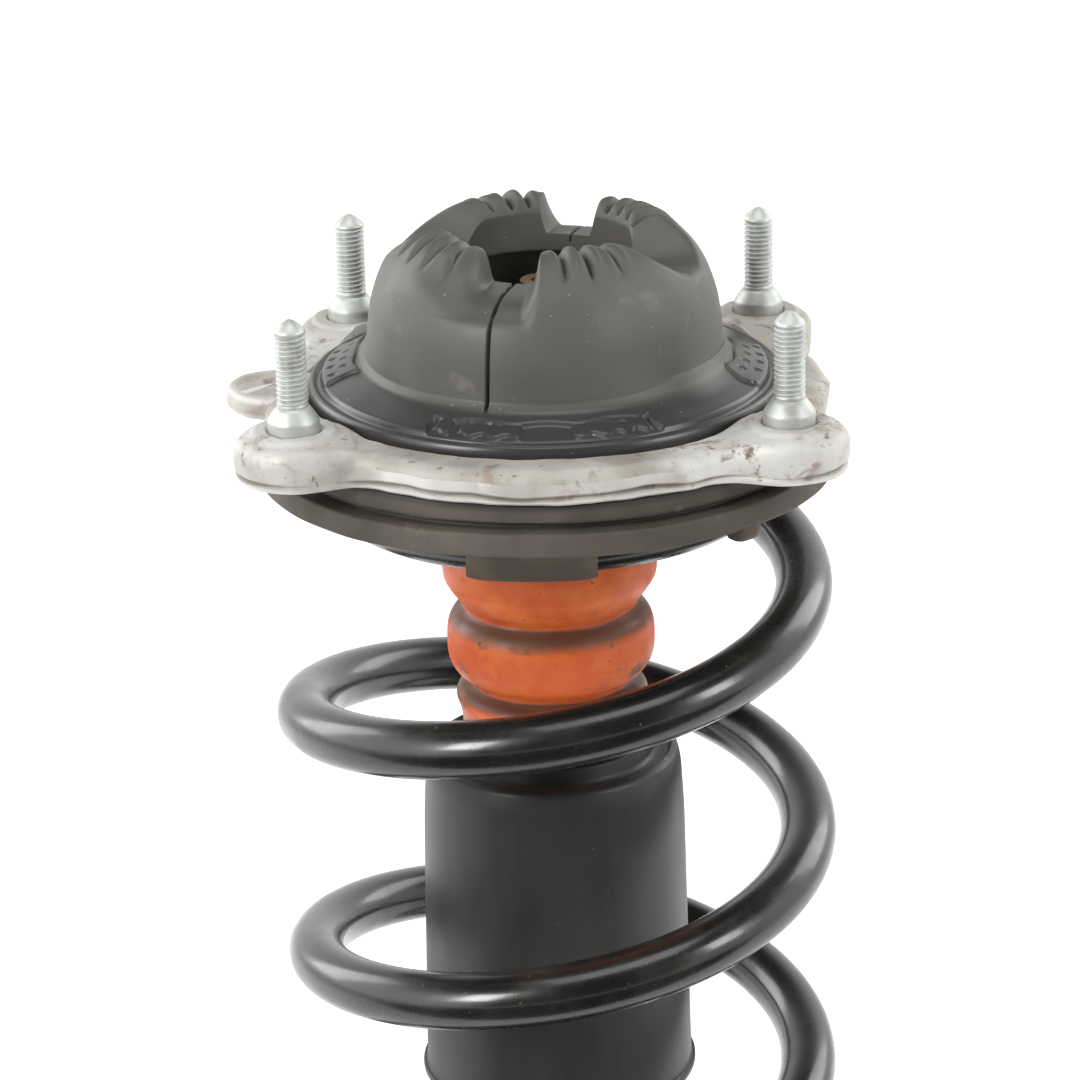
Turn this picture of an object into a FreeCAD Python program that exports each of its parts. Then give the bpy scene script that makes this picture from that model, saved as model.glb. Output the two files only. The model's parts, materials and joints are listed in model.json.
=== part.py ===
"""Coil-over suspension strut, millimetres.

Row frame: the origin is the centre of the lower eye's bore, +Z runs up the damper's axis to the top
mount, and the eye's bore lies along Y. All is drawn at full rebound, as a strut leaves the bench.
"""

import FreeCAD, Part

import math
import os

# ---------------------------------------------------------------- driving dimensions
PAD_Z = 530.0                 # mounting pads of the top plate, above the lower eye's centre
ROD_R = 7.0
TUBE_R = 25.0                 # damper tube, outside
TUBE_WALL = 2.0
BORE_R = TUBE_R - TUBE_WALL
RUNNING_GAP = 0.05

# studs
STUD_R = 4.0
STUD_HEIGHT = 28.3
STUD_COLLAR_R = 6.6
FRONT_SPACING = 122.8
FRONT_SHIFT = -0.5            # each pair's middle, off the centre line
REAR_SPACING = 109.6
REAR_SHIFT = 2.4
FRONT_Y = -47.2
REAR_Y = 47.4
STUDS_XY = [
    (FRONT_SHIFT - FRONT_SPACING / 2, FRONT_Y),
    (FRONT_SHIFT + FRONT_SPACING / 2, FRONT_Y),
    (REAR_SHIFT - REAR_SPACING / 2, REAR_Y),
    (REAR_SHIFT + REAR_SPACING / 2, REAR_Y),
]

# top plate
PLATE_R = 73.5
PLATE_LOW = PAD_Z - 12.5
PLATE_HIGH = PAD_Z - 3.6
OPENING_R = 62.3
EAR_R = 15.0
TAB_X = -70.0
TAB_R = 13.0
HUB_R = 34.0
HUB_BORE_R = 30.0
HUB_LOW = PAD_Z - 33.0
FLOOR_HIGH = PAD_Z - 7.5

# rubber dome
DOME_TURN = -17.0             # degrees from -Y to the front notch
DOME_TOP = PAD_Z + 38.5
DOME_BORE_R = 23.0
ROD_END_Z = PAD_Z + 23.4

# coil spring: angles run from +X, anticlockwise, and rise with height
WIRE_R = 7.5
COIL_R = 66.3
TOP_END_R = 52.0              # the upper end coil is drawn in to fit round the mount's hub
LOW_END_R = 62.0
PITCH = 70.2
COIL_BOW = 1.5                # the coil's axis bows towards +X halfway down
COIL_BARREL = 0.8             # and its coils are this much wider there
TOP_COIL_Z = PAD_Z - 29.6
TOP_TIP_DEG = 688.0
TOP_FLAT_DEG = 560.0
TOP_FULL_DEG = 464.0
TOP_BEND_DEG = 420.0
LOW_FULL_DEG = -870.0
LOW_FLAT_DEG = -1100.0
LOW_TIP_DEG = -1190.0

# bump stop and dust tube
BUMPER_TOP = PAD_Z - 38.0
BUMPER_LOW = PAD_Z - 125.0
CUP_LOW = PAD_Z - 45.5
BUMPER_BORE_R = ROD_R + 0.8
GROOVE_Z = PAD_Z - 106.0      # groove in the bumper that carries the dust tube
COLLAR_TOP = PAD_Z - 102.6
DUST_LOW = PAD_Z - 201.0
DUST_WALL = 1.8

# damper body
TUBE_TOP = PAD_Z - 191.0
CAP_TOP = PAD_Z - 187.0
TUBE_LOW = 31.0
GUIDE_LOW = TUBE_TOP - 28.0
ROD_SHOULDER = PAD_Z - 25.0
PISTON_Z = 278.0
PISTON_H = 16.0
SHIM = 0.6
FLOATING_Z = 88.0
FLOATING_H = 20.0

# lower spring seat
SEAT_PAD_H = 4.0
SEAT_SHEET = 3.0
SEAT_RIM_R = 79.0

# lower eye and bush
EYE_R = 22.0
EYE_BORE_R = 18.0
EYE_WIDTH = 38.0
BUSH_SLEEVE_R = 16.0
INNER_SLEEVE_R = 9.0
BOLT_HOLE_R = 6.1
INNER_SLEEVE_LENGTH = 46.0


# ---------------------------------------------------------------- helpers
def vec(x, y, z):
    return FreeCAD.Vector(x, y, z)


UP = vec(0, 0, 1)
CENTRE = vec(0, 0, 0)


def outline(start, *steps):
    """A closed face in the XZ plane. A step is (r, z), ("arc", middle, end) or ("curve", points...)."""
    edges = []
    here = start
    for step in steps + (start,):
        if step[0] == "arc":
            middle, end = step[1], step[2]
            arc = Part.Arc(vec(here[0], 0, here[1]), vec(middle[0], 0, middle[1]),
                           vec(end[0], 0, end[1]))
            edges.append(arc.toShape())
        elif step[0] == "curve":
            points = [here] + list(step[1:])
            end = points[-1]
            curve = Part.BSplineCurve()
            curve.interpolate([vec(r, 0, z) for r, z in points])
            edges.append(curve.toShape())
        else:
            end = step
            if math.dist(here, end) > 1e-9:
                edges.append(Part.makeLine(vec(here[0], 0, here[1]), vec(end[0], 0, end[1])))
        here = end
    return Part.Face(Part.Wire(edges))


def turned(start, *steps):
    """The solid of revolution about Z of an outline given as radius and height."""
    return outline(start, *steps).revolve(CENTRE, UP, 360)


def ring(outer, inner, low, high):
    return turned((inner, low), (outer, low), (outer, high), (inner, high))


def disc(radius, low, high, x=0.0, y=0.0):
    return Part.makeCylinder(radius, high - low, vec(x, y, low))


def cross_tube(outer, inner, length):
    """A tube along Y, centred on the origin."""
    start = vec(0, -length / 2, 0)
    return Part.makeCylinder(outer, length, start, vec(0, 1, 0)).cut(
        Part.makeCylinder(inner, length, start, vec(0, 1, 0)))


def hexagon(across_flats, low, high):
    corner = across_flats / math.sqrt(3)
    points = [vec(corner * math.cos(math.radians(60 * k)), corner * math.sin(math.radians(60 * k)), low)
              for k in range(7)]
    return Part.Face(Part.makePolygon(points)).extrude(vec(0, 0, high - low))


def turned_about_z(shape, degrees):
    turned_copy = shape.copy()
    turned_copy.rotate(CENTRE, UP, degrees)
    return turned_copy


def sector(inner, outer, low, high, middle_deg, width_deg):
    """A block of a ring, centred on an azimuth."""
    section = outline((inner, low), (outer, low), (outer, high), (inner, high))
    return turned_about_z(section.revolve(CENTRE, UP, width_deg), middle_deg - width_deg / 2)


def wire_torus(centre_r, wire_r, z):
    return Part.makeTorus(centre_r, wire_r, vec(0, 0, z))


# ---------------------------------------------------------------- top mount
def is_ear_corner(edge):
    """True for the upright edges where an ear's round side meets the plate's."""
    if len(edge.Vertexes) != 2:
        return False
    low, high = edge.Vertexes
    upright = math.dist((low.X, low.Y), (high.X, high.Y)) < 1e-6
    on_plate = abs(math.hypot(low.X, low.Y) - PLATE_R) < 0.01
    nearest_stud = min(math.dist((low.X, low.Y), stud) for stud in STUDS_XY)
    return upright and on_plate and abs(nearest_stud - EAR_R) < 0.01


def top_plate():
    body = disc(PLATE_R, PLATE_LOW, PLATE_HIGH)
    for x, y in STUDS_XY:
        body = body.fuse(disc(EAR_R, PLATE_LOW, PLATE_HIGH, x, y))
    body = body.removeSplitter()
    corners = [e for e in body.Edges if is_ear_corner(e)]
    body = body.makeFillet(10.0, corners)
    top_rim = [e for e in body.Edges if all(abs(v.Z - PLATE_HIGH) < 1e-6 for v in e.Vertexes)]
    body = body.makeFillet(2.6, top_rim)
    for x, y in STUDS_XY:
        body = body.fuse(Part.makeCone(EAR_R - 1.2, EAR_R - 3.4, PAD_Z - PLATE_HIGH + 1.4,
                                       vec(x, y, PLATE_HIGH - 1.4)))
    body = body.fuse(disc(TAB_R, PLATE_LOW + 2.5, PLATE_HIGH - 1.2, TAB_X, 0))
    body = body.cut(disc(OPENING_R, FLOOR_HIGH, PAD_Z + 1))
    body = body.fuse(disc(HUB_R, HUB_LOW, PLATE_LOW))
    body = body.cut(disc(HUB_BORE_R, HUB_LOW - 1, PAD_Z))
    for x, y in STUDS_XY:
        body = body.cut(disc(STUD_COLLAR_R + 0.5, PAD_Z - 2.0, PAD_Z + 1, x, y))
        body = body.cut(disc(STUD_R + 1.2, PLATE_LOW - 1, PAD_Z, x, y))
        body = body.cut(disc(STUD_R + 4.0, PLATE_LOW - 1, PLATE_LOW + 2.2, x, y))
    return body.removeSplitter()


def mount_stud(x, y):
    head = disc(STUD_R + 3.8, PLATE_LOW, PLATE_LOW + 2.2, x, y)
    shank = disc(STUD_R + 1.2, PLATE_LOW + 2.2, PAD_Z - 2.0, x, y)
    collar = disc(STUD_COLLAR_R, PAD_Z - 2.0, PAD_Z + 3.2, x, y)
    cone = Part.makeCone(STUD_COLLAR_R, STUD_R + 0.4, 2.6, vec(x, y, PAD_Z + 3.2))
    thread = disc(STUD_R, PAD_Z + 5.8, PAD_Z + STUD_HEIGHT - 3.2, x, y)
    tip = Part.makeCone(STUD_R, 0.9, 3.2, vec(x, y, PAD_Z + STUD_HEIGHT - 3.2))
    return head.multiFuse([shank, collar, cone, thread, tip]).removeSplitter()


def mount_studs():
    return Part.makeCompound([mount_stud(x, y) for x, y in STUDS_XY])


def notch_section(distance, half_width, floor):
    """A bowl-sided section that opens upwards, across a notch at a distance from the axis."""
    top = DOME_TOP + 12.0
    bend = min(6.0, half_width - 0.5)
    right = [(half_width + 4, top), (half_width, floor + bend), (half_width - bend, floor)]
    left = [(-y, z) for y, z in reversed(right)]
    return Part.makePolygon([vec(distance, y, z) for y, z in right + left + right[:1]])


def dome_notch(azimuth, floor, inner_half, outer_half):
    """A valley across the dome's crown, wider and a little deeper towards the outside."""
    inner = notch_section(15.0, inner_half, floor)
    outer = notch_section(56.0, outer_half, floor - 3.0)
    return turned_about_z(Part.makeLoft([inner, outer], True, True), azimuth)


def rubber_dome():
    bell = turned(
        (39.5, FLOOR_HIGH), (OPENING_R - 0.5, FLOOR_HIGH), (OPENING_R - 0.5, PAD_Z - 2.2),
        ("arc", (61.0, PAD_Z - 0.9), (59.5, PAD_Z - 0.5)), (50.5, PAD_Z + 2.2),
        ("curve", (47.0, PAD_Z + 6.0), (45.9, PAD_Z + 12.0), (44.6, PAD_Z + 19.0), (42.4, PAD_Z + 26.0),
         (39.2, PAD_Z + 32.0), (34.0, PAD_Z + 37.0), (29.0, DOME_TOP)),
        ("curve", (25.6, PAD_Z + 38.0), (DOME_BORE_R, PAD_Z + 35.6)), (DOME_BORE_R + 2.0, PAD_Z + 20.0),
        (37.0, PAD_Z + 3.0))
    for half_turn in (0, 180):
        bell = bell.cut(dome_notch(-90 + DOME_TURN + half_turn, PAD_Z + 28.0, 6.6, 12.0))
        bell = bell.cut(dome_notch(DOME_TURN + half_turn, PAD_Z + 28.6, 8.0, 26.0))
    slit = Part.makeBox(120.0, 0.8, 40.0, vec(-60.0, -0.4, PAD_Z + 4.0))
    return bell.cut(turned_about_z(slit, -90 + DOME_TURN))


def mount_core():
    return turned((6.1, PAD_Z - 22.0), (15.0, PAD_Z - 22.0), (15.0, PAD_Z - 19.0), (11.0, PAD_Z - 16.0),
                  (11.0, PAD_Z + 1.5), (16.0, PAD_Z + 4.0), (16.0, PAD_Z + 6.5), (6.1, PAD_Z + 6.5))


def mount_bushing():
    """The bonded rubber between the steel core and the plate's hub."""
    return turned((11.0, PAD_Z - 15.8), (15.0, PAD_Z - 18.8), (20.0, PAD_Z - 25.0),
                  (HUB_BORE_R, PAD_Z - 29.0), (HUB_BORE_R, PAD_Z - 7.6),
                  ("arc", (27.0, PAD_Z - 3.0), (21.0, PAD_Z + 0.5)),
                  (15.6, PAD_Z + 3.6), (11.0, PAD_Z + 1.3))


def upper_washer():
    return turned((6.2, PAD_Z + 6.5), (20.5, PAD_Z + 6.5), (22.0, PAD_Z + 8.0), (21.0, PAD_Z + 9.2),
                  (19.5, PAD_Z + 9.0), (6.2, PAD_Z + 9.0))


def rod_nut():
    flange = ring(13.0, 6.0, PAD_Z + 9.0, PAD_Z + 11.0)
    body = hexagon(19.0, PAD_Z + 11.0, PAD_Z + 19.0).cut(disc(6.0, PAD_Z + 10.0, PAD_Z + 20.0))
    crown = turned((6.0, PAD_Z + 11.0), (12.0, PAD_Z + 11.0), (12.0, PAD_Z + 16.6), (9.6, PAD_Z + 19.0),
                   (6.0, PAD_Z + 19.0))
    return flange.fuse(body.common(crown)).removeSplitter()


def piston_rod():
    rod = disc(ROD_R, PISTON_Z + PISTON_H + 4.0, ROD_SHOULDER)
    upper = disc(6.0, ROD_SHOULDER, ROD_END_Z)
    lower = disc(5.0, PISTON_Z - 14.0, PISTON_Z + PISTON_H + 4.0)
    socket = hexagon(6.0, ROD_END_Z - 8.0, ROD_END_Z + 1.0)
    return rod.multiFuse([upper, lower]).removeSplitter().cut(socket)


# ---------------------------------------------------------------- spring and its pads
def coil_height(deg):
    """Height of the wire's centre: flat end coils, easing into an even pitch."""
    rise_per_deg = PITCH / 360
    top_ease = TOP_FLAT_DEG - TOP_FULL_DEG
    low_ease = LOW_FULL_DEG - LOW_FLAT_DEG
    if deg >= TOP_FULL_DEG:
        left = max(0.0, TOP_FLAT_DEG - deg)
        return TOP_COIL_Z - rise_per_deg * left ** 2 / (2 * top_ease)
    height = TOP_COIL_Z - rise_per_deg * (top_ease / 2 + TOP_FULL_DEG - max(deg, LOW_FULL_DEG))
    if deg < LOW_FULL_DEG:
        gone = min(LOW_FULL_DEG - deg, low_ease)
        height -= rise_per_deg * (gone - gone ** 2 / (2 * low_ease))
    return height


def smooth(share):
    share = min(1.0, max(0.0, share))
    return share * share * (3 - 2 * share)


def coil_radius(deg):
    """The end coils are wound tighter than the body of the spring."""
    top = smooth((deg - TOP_BEND_DEG) / (TOP_FLAT_DEG - TOP_BEND_DEG))
    low = smooth((LOW_FULL_DEG - deg) / (LOW_FULL_DEG - LOW_FLAT_DEG))
    return COIL_R + (TOP_END_R - COIL_R) * top + (LOW_END_R - COIL_R) * low


def coil_point(deg):
    angle = math.radians(deg)
    height = coil_height(deg)
    low = coil_height(LOW_TIP_DEG)
    belly = math.sin(math.pi * (height - low) / (TOP_COIL_Z - low))
    radius = coil_radius(deg) + COIL_BARREL * belly
    return vec(radius * math.cos(angle) + COIL_BOW * belly, radius * math.sin(angle), height)


def coil_spring():
    count = 90
    degs = [LOW_TIP_DEG + (TOP_TIP_DEG - LOW_TIP_DEG) * k / count for k in range(count + 1)]
    curve = Part.BSplineCurve()
    curve.interpolate([coil_point(d) for d in degs])
    path = Part.Wire([curve.toShape()])
    start = curve.value(curve.FirstParameter)
    tangent = curve.tangent(curve.FirstParameter)[0]
    section = Part.Wire([Part.Circle(start, tangent, WIRE_R).toShape()])
    sweep = Part.BRepOffsetAPI.MakePipeShell(path)
    sweep.setFrenetMode(True)
    sweep.add(section)
    sweep.build()
    sweep.makeSolid()
    return sweep.shape()


def upper_spring_pad():
    """Rubber isolator between the plate and the spring's upper end coil."""
    wire_top = TOP_COIL_Z + WIRE_R + 0.1
    rim_low = PLATE_LOW - 12.9
    body = turned(
        (HUB_R + 0.1, TOP_COIL_Z), (HUB_R + 0.1, PLATE_LOW), (71.5, PLATE_LOW), (72.0, PLATE_LOW - 5.5),
        (75.2, PLATE_LOW - 6.6), (75.4, rim_low + 0.6), (74.6, rim_low), (71.0, rim_low),
        (69.0, rim_low + 2.0), (TOP_END_R + 8.2, wire_top - 2.5), (TOP_END_R + 4.0, wire_top),
        (TOP_END_R - 4.0, wire_top),
        (TOP_END_R - 8.2, TOP_COIL_Z + 2.0), (TOP_END_R - 10.0, TOP_COIL_Z))
    clip = sector(70.6, 75.0, PLATE_LOW - 19.0, rim_low + 1.0, -92.5, 25.0)
    stop = sector(71.0, 75.4, PLATE_LOW - 16.2, rim_low + 1.0, -47.3, 5.4)
    return body.multiFuse([clip, stop]).removeSplitter()


def lower_spring_pad():
    coil_z = coil_height(LOW_TIP_DEG)
    wire_low = coil_z - WIRE_R - 0.1
    seat_top = wire_low - SEAT_PAD_H
    return turned(
        (LOW_END_R - 11.0, seat_top), (LOW_END_R + 11.5, seat_top), (LOW_END_R + 12.0, coil_z - 1.0),
        (LOW_END_R + 9.6, coil_z - 0.5), (LOW_END_R + 8.2, coil_z - 3.0), (LOW_END_R + 3.8, wire_low),
        (LOW_END_R - 3.8, wire_low), (LOW_END_R - 8.2, coil_z - 3.0), (LOW_END_R - 10.0, coil_z - 2.0))


def seat_top_z():
    return coil_height(LOW_TIP_DEG) - WIRE_R - 0.1 - SEAT_PAD_H


def lower_spring_seat():
    top = seat_top_z()
    low = top - SEAT_SHEET
    return turned(
        (TUBE_R, top - 24.0), (TUBE_R + SEAT_SHEET, top - 24.0), (TUBE_R + SEAT_SHEET, low - 8.0),
        (TUBE_R + 9.0, low - 4.0), (TUBE_R + 14.0, low), (SEAT_RIM_R - 3.0, low),
        ("arc", (SEAT_RIM_R - 0.9, low + 0.9), (SEAT_RIM_R, low + 3.0)), (SEAT_RIM_R, top + 9.0),
        (SEAT_RIM_R - SEAT_SHEET, top + 9.0), (SEAT_RIM_R - SEAT_SHEET, top), (TUBE_R + 13.0, top),
        (TUBE_R + 7.0, top - 5.0), (TUBE_R, top - 9.0))


def seat_ring():
    top = seat_top_z() - 24.0
    return ring(TUBE_R + 4.5, TUBE_R, top - 7.0, top)


# ---------------------------------------------------------------- bump stop and dust tube
def bumper_cup():
    """Pressed cup, clamped between the rod's shoulder and the mount's core."""
    return turned(
        (6.1, ROD_SHOULDER), (14.0, ROD_SHOULDER), (22.0, PAD_Z - 36.5),
        (24.5, BUMPER_TOP), (30.0, BUMPER_TOP),
        (30.0, CUP_LOW), (31.6, CUP_LOW), (31.6, BUMPER_TOP + 1.5), (25.6, BUMPER_TOP + 1.5),
        (23.6, PAD_Z - 35.0), (16.2, PAD_Z - 24.0), (15.0, PAD_Z - 22.0), (6.1, PAD_Z - 22.0))


def jounce_bumper():
    return turned(
        (BUMPER_BORE_R, BUMPER_TOP), (26.0, BUMPER_TOP),
        ("curve", (28.0, PAD_Z - 42.0), (28.5, PAD_Z - 50.0), (28.2, PAD_Z - 56.5), (25.6, PAD_Z - 60.5),
         (22.9, PAD_Z - 64.0), (25.0, PAD_Z - 67.0), (27.2, PAD_Z - 71.5), (27.4, PAD_Z - 77.5),
         (25.4, PAD_Z - 82.5), (21.4, PAD_Z - 86.0), (24.4, PAD_Z - 88.0), (25.4, PAD_Z - 90.2),
         (24.6, PAD_Z - 93.0), (24.0, PAD_Z - 97.0), (24.0, PAD_Z - 103.5)),
        (22.4, GROOVE_Z + 0.4), (22.4, GROOVE_Z - 2.4), (24.6, GROOVE_Z - 3.4),
        ("curve", (23.4, PAD_Z - 113.0), (18.0, PAD_Z - 117.0), (18.4, PAD_Z - 121.0), (15.0, BUMPER_LOW)),
        (BUMPER_BORE_R, BUMPER_LOW))


def dust_tube():
    """Thin tube with a collar that grips the bumper, a rolled shoulder and a bead round its open end."""
    low_in = 36.9 - DUST_WALL
    collar_in, collar_out = 24.5, 26.0
    return turned(
        (22.8, GROOVE_Z - 2.0), (22.8, GROOVE_Z), (collar_in, GROOVE_Z + 1.0), (collar_in, COLLAR_TOP),
        (collar_out, COLLAR_TOP), (collar_out + 1.0, GROOVE_Z), (28.2, GROOVE_Z - 1.6),
        (30.0, GROOVE_Z - 1.6), (31.2, GROOVE_Z + 0.4),
        ("arc", (33.4, GROOVE_Z - 1.4), (34.4, GROOVE_Z - 6.5)),
        (36.3, DUST_LOW + 3.4), (37.5, DUST_LOW + 2.6), (37.5, DUST_LOW), (low_in, DUST_LOW),
        (low_in - 0.6, DUST_LOW + 6.5), (34.3 - DUST_WALL, GROOVE_Z - 8.5), (30.6, GROOVE_Z - 3.8),
        (27.6, GROOVE_Z - 3.8), (26.4, GROOVE_Z - 2.0))


# ---------------------------------------------------------------- damper
def damper_tube():
    return ring(TUBE_R, BORE_R, TUBE_LOW, TUBE_TOP)


def striker_cap():
    return turned((ROD_R + 0.6, TUBE_TOP + 1.0), (ROD_R + 0.6, CAP_TOP), (TUBE_R - 2.0, CAP_TOP),
                  ("arc", (TUBE_R + 0.6, CAP_TOP - 0.8), (TUBE_R + 1.6, CAP_TOP - 3.0)),
                  (TUBE_R + 1.6, TUBE_TOP - 14.0), (TUBE_R, TUBE_TOP - 14.0), (TUBE_R, TUBE_TOP),
                  (TUBE_R - 1.0, TUBE_TOP + 1.0))


def rod_guide():
    """Guide, with a bore for its bushing and a groove for its ring seal."""
    low, high = GUIDE_LOW, TUBE_TOP - 8.0
    return turned((ROD_R + 1.5, low), (17.0, low), (BORE_R, low + 3.0), (BORE_R, low + 9.0),
                  (BORE_R - 2.2, low + 9.0), (BORE_R - 2.2, low + 12.0), (BORE_R, low + 12.0),
                  (BORE_R, high), (ROD_R + 1.5, high))


def guide_bushing():
    return ring(ROD_R + 1.5, ROD_R + RUNNING_GAP, GUIDE_LOW + 2.0, TUBE_TOP - 10.0)


def guide_o_ring():
    return wire_torus(BORE_R - 1.2, 1.0, GUIDE_LOW + 10.5)


def rod_seal():
    low, high = TUBE_TOP - 8.0, TUBE_TOP - 3.0
    return turned((ROD_R + 0.05, low + 1.2), (ROD_R + 2.5, low), (BORE_R, low), (BORE_R, high),
                  (ROD_R + 3.0, high), (ROD_R + 2.0, high - 1.5), (ROD_R + 0.05, high - 0.6))


def retaining_ring():
    return ring(BORE_R, BORE_R - 2.4, TUBE_TOP - 3.0, TUBE_TOP - 1.2)


def piston():
    body = ring(BORE_R - 1.2, 5.0, PISTON_Z, PISTON_Z + PISTON_H)
    for k in range(6):
        x = 13.5 * math.cos(math.radians(60 * k))
        y = 13.5 * math.sin(math.radians(60 * k))
        body = body.cut(disc(2.2, PISTON_Z - 1, PISTON_Z + PISTON_H + 1, x, y))
    return body


def piston_band():
    return ring(BORE_R - RUNNING_GAP, BORE_R - 1.2, PISTON_Z + 3.0, PISTON_Z + PISTON_H - 3.0)


def shim_stack(start, direction):
    """Three spring-steel discs, each smaller than the last, stacked away from the piston."""
    shims = []
    for k, radius in enumerate((18.5, 15.5, 12.5)):
        near = start + direction * k * SHIM
        far = near + direction * SHIM
        shims.append(ring(radius, 5.0, min(near, far), max(near, far)))
    return Part.makeCompound(shims)


def piston_nut():
    low, high = PISTON_Z - 12.0, PISTON_Z - 3 * SHIM
    return hexagon(17.0, low, high).cut(disc(5.0, low - 1, high + 1))


def rebound_stop():
    low = PISTON_Z + PISTON_H + 4.0
    spacer = ring(9.5, 5.0, PISTON_Z + PISTON_H + 3 * SHIM, low)
    return ring(15.0, ROD_R, low, low + 3.5).fuse(spacer).removeSplitter()


def rebound_buffer():
    low = PISTON_Z + PISTON_H + 7.5
    high = GUIDE_LOW - 0.4
    return turned((ROD_R + 0.1, low), (14.5, low), ("arc", (16.6, (low + high) / 2), (14.5, high)),
                  (ROD_R + 0.1, high))


def floating_piston():
    low, high = FLOATING_Z, FLOATING_Z + FLOATING_H
    skirt = BORE_R - 0.4
    return turned((0, low + 12.0), (17.5, low + 12.0), (17.5, low), (skirt, low), (skirt, low + 7.0),
                  (skirt - 2.2, low + 7.0), (skirt - 2.2, low + 10.4), (skirt, low + 10.4),
                  (skirt, high),
                  (14.0, high), (9.0, high - 3.0), (0, high - 3.0))


def floating_piston_o_ring():
    return wire_torus(BORE_R - 1.5, 1.1, FLOATING_Z + 8.7)


def base_plug():
    spigot = turned((0, TUBE_LOW + 9.0), (0, 12.0), (15.0, 12.0), (15.0, 20.0),
                    (20.0, TUBE_LOW - 5.0), (TUBE_R, TUBE_LOW - 4.0), (TUBE_R, TUBE_LOW),
                    (BORE_R, TUBE_LOW), (BORE_R, TUBE_LOW + 9.0))
    return spigot.cut(Part.makeCylinder(EYE_R, 80.0, vec(0, -40.0, 0), vec(0, 1, 0)))


# ---------------------------------------------------------------- lower eye
def lower_eye():
    return cross_tube(EYE_R, EYE_BORE_R, EYE_WIDTH)


def bush_outer_sleeve():
    return cross_tube(EYE_BORE_R, BUSH_SLEEVE_R, EYE_WIDTH)


def bush_rubber():
    body = outline((INNER_SLEEVE_R + 0.05, -EYE_WIDTH / 2), ("arc", (12.5, -EYE_WIDTH / 2 + 3.0),
                   (BUSH_SLEEVE_R, -EYE_WIDTH / 2 + 0.5)), (BUSH_SLEEVE_R, EYE_WIDTH / 2 - 0.5),
                   ("arc", (12.5, EYE_WIDTH / 2 - 3.0), (INNER_SLEEVE_R + 0.05, EYE_WIDTH / 2)))
    bush = body.revolve(CENTRE, UP, 360)
    bush.rotate(CENTRE, vec(1, 0, 0), 90)
    return bush


def bush_inner_sleeve():
    return cross_tube(INNER_SLEEVE_R, BOLT_HOLE_R, INNER_SLEEVE_LENGTH)


PARTS = {
    "top_plate": top_plate,
    "mount_studs": mount_studs,
    "rubber_dome": rubber_dome,
    "mount_core": mount_core,
    "mount_bushing": mount_bushing,
    "upper_washer": upper_washer,
    "rod_nut": rod_nut,
    "piston_rod": piston_rod,
    "coil_spring": coil_spring,
    "upper_spring_pad": upper_spring_pad,
    "lower_spring_pad": lower_spring_pad,
    "lower_spring_seat": lower_spring_seat,
    "seat_ring": seat_ring,
    "bumper_cup": bumper_cup,
    "jounce_bumper": jounce_bumper,
    "dust_tube": dust_tube,
    "damper_tube": damper_tube,
    "striker_cap": striker_cap,
    "rod_guide": rod_guide,
    "guide_bushing": guide_bushing,
    "guide_o_ring": guide_o_ring,
    "rod_seal": rod_seal,
    "retaining_ring": retaining_ring,
    "piston": piston,
    "piston_band": piston_band,
    "compression_shims": lambda: shim_stack(PISTON_Z + PISTON_H, 1),
    "rebound_shims": lambda: shim_stack(PISTON_Z, -1),
    "piston_nut": piston_nut,
    "rebound_stop": rebound_stop,
    "rebound_buffer": rebound_buffer,
    "floating_piston": floating_piston,
    "floating_piston_o_ring": floating_piston_o_ring,
    "base_plug": base_plug,
    "lower_eye": lower_eye,
    "bush_outer_sleeve": bush_outer_sleeve,
    "bush_rubber": bush_rubber,
    "bush_inner_sleeve": bush_inner_sleeve,
}


def main():
    os.makedirs("parts", exist_ok=True)
    for name, make in PARTS.items():
        shape = make()
        if not shape.isValid():
            print("NOT VALID:", name)
        shape.exportStep(f"parts/{name}.step")


main()
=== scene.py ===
"""Looks of the coil-over strut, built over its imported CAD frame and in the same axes, in metres."""
import json
import math

import bmesh
import bpy
import numpy as np
from mathutils import Matrix, Vector, noise


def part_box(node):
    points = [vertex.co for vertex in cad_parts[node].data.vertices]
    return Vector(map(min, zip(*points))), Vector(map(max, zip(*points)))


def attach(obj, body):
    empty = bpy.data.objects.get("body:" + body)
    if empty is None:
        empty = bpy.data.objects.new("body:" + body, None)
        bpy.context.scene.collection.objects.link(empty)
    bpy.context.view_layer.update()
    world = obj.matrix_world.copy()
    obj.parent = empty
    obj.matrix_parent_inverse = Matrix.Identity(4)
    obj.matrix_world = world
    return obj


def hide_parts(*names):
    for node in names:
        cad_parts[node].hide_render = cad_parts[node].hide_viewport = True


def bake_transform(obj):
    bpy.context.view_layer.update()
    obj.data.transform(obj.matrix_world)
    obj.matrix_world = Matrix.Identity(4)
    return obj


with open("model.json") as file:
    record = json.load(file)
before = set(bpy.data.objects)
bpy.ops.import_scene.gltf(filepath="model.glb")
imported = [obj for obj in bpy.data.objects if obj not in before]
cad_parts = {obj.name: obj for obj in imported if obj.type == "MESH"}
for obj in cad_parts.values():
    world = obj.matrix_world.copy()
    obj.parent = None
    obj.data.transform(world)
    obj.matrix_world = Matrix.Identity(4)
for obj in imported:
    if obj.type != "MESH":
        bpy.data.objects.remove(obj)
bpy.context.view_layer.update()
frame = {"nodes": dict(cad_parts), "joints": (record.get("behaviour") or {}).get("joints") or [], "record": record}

MM = 0.001
MOUNTS = {mount["name"]: mount for mount in frame["record"]["mounts"]}
PAD_Z = MOUNTS["stud_pad"]["pos_m"][2]          # the plane of the four stud pads
TAU = 2 * math.pi


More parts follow.
